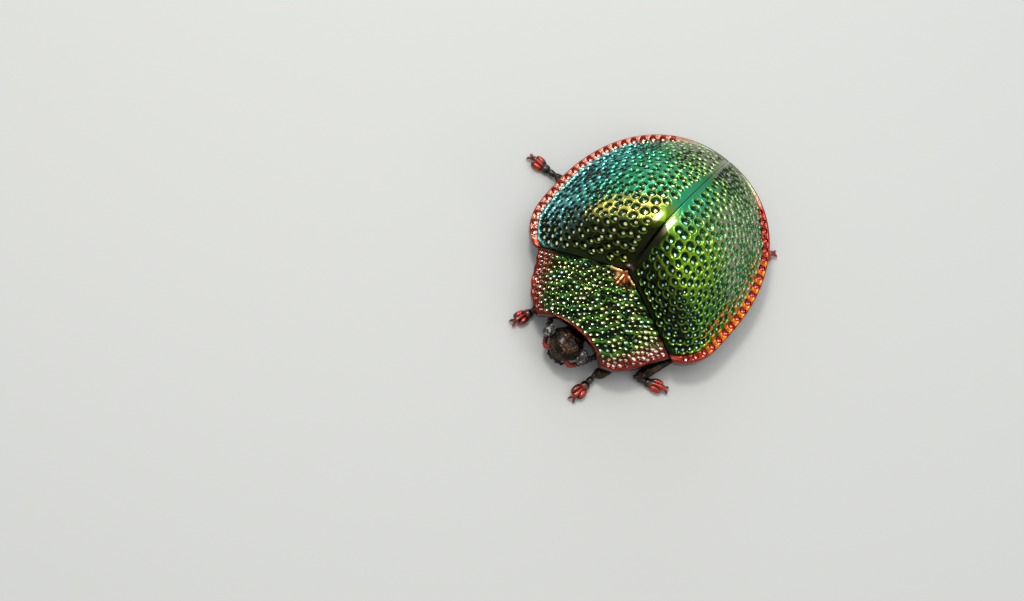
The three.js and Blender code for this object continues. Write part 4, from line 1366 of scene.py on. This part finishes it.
def body_plate(low, high):
    """A slab of the hind body between two places along it. Its height runs from the belly to
    inside the wing cases, and closes to each side by (1 - a^10)^0.5, where a is the share of the
    half width."""
    v, u = np.meshgrid(np.linspace(0, 1, 121), np.linspace(0, 1, 181), indexing="ij")
    y = mix(low, high, v)
    half = body_half(y)
    x = mix(-half, half, u)
    across = np.clip(np.abs(x) / half, 0, 1)
    bottom = belly_height(x, y)
    top = np.maximum(np.minimum(wing_height(x, y) - UNDER_WINGS, BODY_TOP), bottom + 0.3)
    middle = bottom + 0.5
    round_off = (1 - across**10) ** 0.5
    upper = np.stack([x, y, mix(middle, top, round_off)], -1)
    lower = np.stack([x, y, mix(middle, bottom, round_off)], -1)
    rows, columns = x.shape
    count = rows * columns
    quads = [grid_quads(rows, columns), grid_quads(rows, columns, count)[:, ::-1]]
    index = np.arange(count).reshape(rows, columns)
    for line, flip in ((index[0], False), (index[-1], True), (index[:, 0], True), (index[:, -1], False)):
        wall = np.stack([line[:-1] + count, line[1:] + count, line[1:], line[:-1]], -1)
        quads.append(wall[:, ::-1] if flip else wall)
    return Body(np.concatenate([upper.reshape(-1, 3), lower.reshape(-1, 3)]), np.concatenate(quads))


def body_half(y):
    """Half of the hind body's width at y: the wing cases' outline drawn in."""
    reach = np.where(y < HUMP_Y, FRONT_REACH, REAR_REACH) * BODY_SHARE
    power = np.where(y < HUMP_Y, FRONT_ROUNDNESS, ROUNDNESS)
    left = np.clip(1 - (np.abs(y - HUMP_Y) / reach) ** power, 0.0004, 1)
    return HALF_WIDTH * BODY_SHARE * left ** (1 / ROUNDNESS)


class BEETLE_OT_body(bpy.types.Operator):
    """Adds the underside: fore body, middle body and abdomen with its plates"""

    bl_idname = "beetle.body"
    bl_label = "Body"

    def execute(self, context):
        material = bpy.data.materials.get("dark_bronze") or dark_finish(context.scene.beetle_look)
        plates = [ball((side * 1.9, 1.2, 1.1), (1.3, 1.0, 0.3), 60, 30) for side in (1, -1)]
        middle = joined([body_plate(*MID_BODY), *plates])
        add_piece("mid_body_skin", middle, material, ["mid_body"])
        add_piece("abdomen_skin", body_plate(*ABDOMEN), material, ["abdomen"])
        fore = star((0, -2.25, 1.5), FORE_LUMPS, 120, 80)
        add_piece("fore_body_skin", fore, material, ["fore_body"])
        return {"FINISHED"}


def knee_of(hip, ankle, pair, side):
    """The knee's place: the third corner of a triangle with thigh and shin as its sides."""
    reach = np.hypot(*(ankle[:2] - hip[:2]))
    way = (ankle[:2] - hip[:2]) / reach
    thigh = math.sqrt(THIGH[pair] ** 2 - (KNEE_Z[pair] - HIP_Z) ** 2)
    shin = math.sqrt(SHIN[pair] ** 2 - (KNEE_Z[pair] - ANKLE_Z) ** 2)
    along = (thigh**2 - shin**2 + reach**2) / (2 * reach)
    off = math.sqrt(max(0, thigh**2 - along**2))
    bend = -side if pair == "hind" else side
    x, y = hip[:2] + way * along + np.array([-way[1], way[0]]) * bend * off
    return np.array([x, y, KNEE_Z[pair]])


def limb(path, girths, sides=28, flat=0.85):
    """A limb swept along a path whose half width follows the girths, spread evenly along it."""
    s = np.linspace(0, 1, len(path))
    width = np.interp(s, np.linspace(0, 1, len(girths)), girths)
    return swept(path, width, width * flat, sides)


def foot_parts(ankle, toe):
    """The joints of a foot as ellipsoids with flat soles, its two claws, and the brushes of hair
    under its lobes. A hair's root is drawn evenly over an ellipse by an angle and the root of a
    share."""
    way = toe - ankle[:2]
    length = np.hypot(*way)
    way = way / length
    side = np.array([-way[1], way[0]])

    def at(share, across, z):
        """A place at a share of the foot's length, so far across it and so high."""
        return np.array([*(ankle[:2] + way * length * share + side * across), z])

    def lobe(share, across, z, half, spin):
        """An ellipsoid turned the foot's way and cut flat at the sole."""
        body = ball((0, 0, 0), half, 40, 26)
        points = turned(body.points, math.atan2(way[1], way[0]) + spin) + at(share, across, z)
        points[:, 2] = np.maximum(points[:, 2], SOLE_Z)
        return Body(points, body.quads, body.triangles)

    shell_parts = [lobe(*joint) for joint in FOOT_JOINTS]
    claw_joint = curve([at(0.42, 0, 0.3), at(0.7, 0, 0.36), at(0.92, 0, 0.26)], 30)
    shell_parts.append(limb(claw_joint, [0.07, 0.09, 0.1, 0.13, 0.11]))
    for out in (1, -1):
        hook = curve([at(0.89, 0.05 * out, 0.26), at(0.97, 0.13 * out, 0.2), at(1.0, 0.16 * out, 0.02)], 20)
        shell_parts.append(limb(hook, [0.075, 0.07, 0.045, 0.012], 14))
    rng = np.random.default_rng(int(abs(ankle[0] * 1000)) + 3)
    tufts = []
    root_z, drop = 0.1, 0.09
    for share, across, wide, long in BRUSHES:
        for _ in range(HAIRS):
            turn, out = rng.uniform(0, 2 * math.pi), math.sqrt(rng.uniform(0.15, 1.25))
            root = at(share + long * out * math.cos(turn), across + wide * out * math.sin(turn), root_z)
            tip = root + np.array([*(way * 0.03 + side * (across * 0.1)), -drop])
            tufts.append(limb(np.linspace(root, tip, 4), [0.012, 0.011, 0.006], 5, 1.0))
    return joined(shell_parts), tufts


class BEETLE_OT_legs(bpy.types.Operator):
    """Adds the six legs: thighs, shins, feet with two-lobed joints, claws and hair pads"""

    bl_idname = "beetle.legs"
    bl_label = "Legs"

    def execute(self, context):
        look = context.scene.beetle_look
        dark = bpy.data.materials.get("dark_bronze") or dark_finish(look)
        red = leg_finish(look)
        golden = pad_finish(look)
        for name, leg in LEGS.items():
            pair, side_name = name.split("_")
            side = 1 if side_name == "left" else -1
            hip = np.array([*leg["hip"], HIP_Z])
            ankle = np.array([*leg["ankle"], ANKLE_Z])
            knee = knee_of(hip, ankle, pair, side)
            root = ball(hip, (0.45, 0.45, 0.35), 40, 26)
            thigh = limb(np.linspace(hip, knee + (knee - hip) * 0.06, 60), THIGH_GIRTHS)
            add_piece(f"thigh_{name}_skin", joined([root, thigh]), dark, [f"thigh_{name}"])
            shin = limb(np.linspace(knee, ankle, 60), SHIN_GIRTHS)
            add_piece(f"shin_{name}_skin", shin, dark, [f"shin_{name}"])
            toe = np.array(leg["toe"])
            foot, tufts = foot_parts(ankle, toe)
            way = (toe - ankle[:2]) / ((toe - ankle[:2]) ** 2).sum()
            foot.values = {"tip": smooth(((foot.points[:, :2] - ankle[:2]) @ way - 0.35) / 0.2)}
            add_piece(f"foot_{name}_skin", foot, red, [f"foot_{name}"])
            piece = add_piece(f"pads_{name}", joined(tufts), golden, [f"foot_{name}"])
            bake_map(piece, len(tufts))
        return {"FINISHED"}


def bake_map(piece, tufts):
    """A UV map on which each tuft is a small patch at its own place on a square lattice."""
    mesh = piece.data
    side = math.ceil(math.sqrt(tufts))
    per_tuft = len(mesh.vertices) // tufts
    vertex = np.empty(len(mesh.loops), dtype=int)
    mesh.loops.foreach_get("vertex_index", vertex)
    tuft = vertex // per_tuft
    spin = (vertex % per_tuft) / per_tuft * 2 * math.pi
    patch = 0.0015
    u = (tuft % side + 0.5) / side + patch * np.cos(spin)
    v = (tuft // side + 0.5) / side + patch * np.sin(spin)
    layer = mesh.uv_layers.new(name="OFBake")
    layer.data.foreach_set("uv", np.stack([u, v], -1).ravel())


def posed(right, up, back, place):
    """A matrix from the directions of an object's own axes and its place, as its columns."""
    matrix = np.eye(4)
    matrix[:3] = np.stack([right, up, back, place], -1)
    return Matrix(matrix)


def add_camera(scene):
    """The camera at its azimuth and elevation, rolled about its line of sight. It is moved aside
    so that the origin falls on its pixel: by the pixel's offset from the picture's middle over the
    focal length, times the distance."""
    azimuth, elevation, roll = (math.radians(value) for value in (AZIMUTH, ELEVATION, ROLL))
    slant = math.tan(math.radians(VIEW_ANGLE / 2))
    focal = PHOTO_WIDTH / 2 / slant
    level = math.cos(elevation)
    back = np.array([math.sin(azimuth) * level, -math.cos(azimuth) * level, math.sin(elevation)])
    right = np.cross((0, 0, 1), back)
    right /= np.linalg.norm(right)
    up = np.cross(back, right)
    right, up = right * math.cos(roll) + up * math.sin(roll), up * math.cos(roll) - right * math.sin(roll)
    aside = right * (SIGHT[0] - PHOTO_WIDTH / 2) / focal * SIGHT_DISTANCE
    above = up * (SIGHT[1] - PHOTO_HEIGHT / 2) / focal * SIGHT_DISTANCE
    eye = back * SIGHT_DISTANCE - aside + above
    data = bpy.data.cameras.new("camera")
    data.lens = SENSOR / 2 / slant
    data.sensor_width = SENSOR
    data.clip_start = 0.001
    data.clip_end = 10
    camera = bpy.data.objects.new("camera", data)
    camera.matrix_world = posed(right, up, back, (eye + ORIGIN) * MM)
    scene.collection.objects.link(camera)
    scene.camera = camera


class BEETLE_OT_studio(bpy.types.Operator):
    """Adds the floor, the lights and the camera at the photograph's angle"""

    bl_idname = "beetle.studio"
    bl_label = "Studio"

    def execute(self, context):
        scene = context.scene
        corners = [(x * FLOOR_HALF, y * FLOOR_HALF, 0) for x, y in ((-1, -1), (1, -1), (1, 1), (-1, 1))]
        ground = bpy.data.objects.new("floor", mesh_of("floor", Body(corners, [(0, 1, 2, 3)])))
        scene.collection.objects.link(ground)
        paint = Finish("floor_paint", 0.7, 0.0)
        paint.colour(FLOOR_PAINT)
        ground.data.materials.append(paint.material)
        add_camera(scene)
        for lamp in LAMPS:
            add_light(scene, *lamp)
        world = bpy.data.worlds.new("studio")
        world.use_nodes = True
        sky = world.node_tree.nodes["Background"]
        sky.inputs["Color"].default_value = (*SKY, 1)
        sky.inputs["Strength"].default_value = SKY_STRENGTH
        scene.world = world
        scene.view_settings.view_transform = "Standard"
        return {"FINISHED"}


def add_light(scene, name, way, size, power, tint):
    """A square lamp at the lamps' distance from the beetle in a direction, facing it."""
    data = bpy.data.lights.new(name, "AREA")
    data.size = size
    data.energy = power
    data.color = tint
    lamp = bpy.data.objects.new(name, data)
    away = np.array(way) / np.linalg.norm(way)
    right = np.cross((0, 0, 1), away)
    right /= np.linalg.norm(right)
    lamp.matrix_world = posed(right, np.cross(away, right), away, away * LAMP_DISTANCE)
    scene.collection.objects.link(lamp)


OPERATORS = (
    BEETLE_OT_wing_cases,
    BEETLE_OT_shield,
    BEETLE_OT_scutellum,
    BEETLE_OT_head,
    BEETLE_OT_eyes,
    BEETLE_OT_feelers,
    BEETLE_OT_body,
    BEETLE_OT_legs,
    BEETLE_OT_studio,
)


class BEETLE_PT_panel(bpy.types.Panel):
    """Lists the beetle's pieces and their settings"""

    bl_idname = "BEETLE_PT_panel"
    bl_label = "Tortoise beetle"
    bl_space_type = "VIEW_3D"
    bl_region_type = "UI"
    bl_category = "Beetle"

    def draw(self, context):
        for operator in OPERATORS:
            self.layout.operator(operator.bl_idname)
        for settings in (context.scene.beetle_shape, context.scene.beetle_look):
            for name in settings.bl_rna.properties.keys():
                if name not in ("rna_type", "name"):
                    self.layout.prop(settings, name)


CLASSES = (BeetleLook, BeetleShape, *OPERATORS, BEETLE_PT_panel)


def register():
    """Registers the classes and gives the scene its settings."""
    for cls in CLASSES:
        bpy.utils.register_class(cls)
    bpy.types.Scene.beetle_look = bpy.props.PointerProperty(type=BeetleLook)
    bpy.types.Scene.beetle_shape = bpy.props.PointerProperty(type=BeetleShape)


def unregister():
    """Takes the settings and the classes away again."""
    del bpy.types.Scene.beetle_shape
    del bpy.types.Scene.beetle_look
    for cls in reversed(CLASSES):
        bpy.utils.unregister_class(cls)


def main():
    """Builds every piece and the studio through their operators."""
    register()
    bpy.ops.beetle.wing_cases()
    bpy.ops.beetle.shield()
    bpy.ops.beetle.scutellum()
    bpy.ops.beetle.head()
    bpy.ops.beetle.eyes()
    bpy.ops.beetle.feelers()
    bpy.ops.beetle.body()
    bpy.ops.beetle.legs()
    bpy.ops.beetle.studio()


if __name__ == "__main__":
    main()
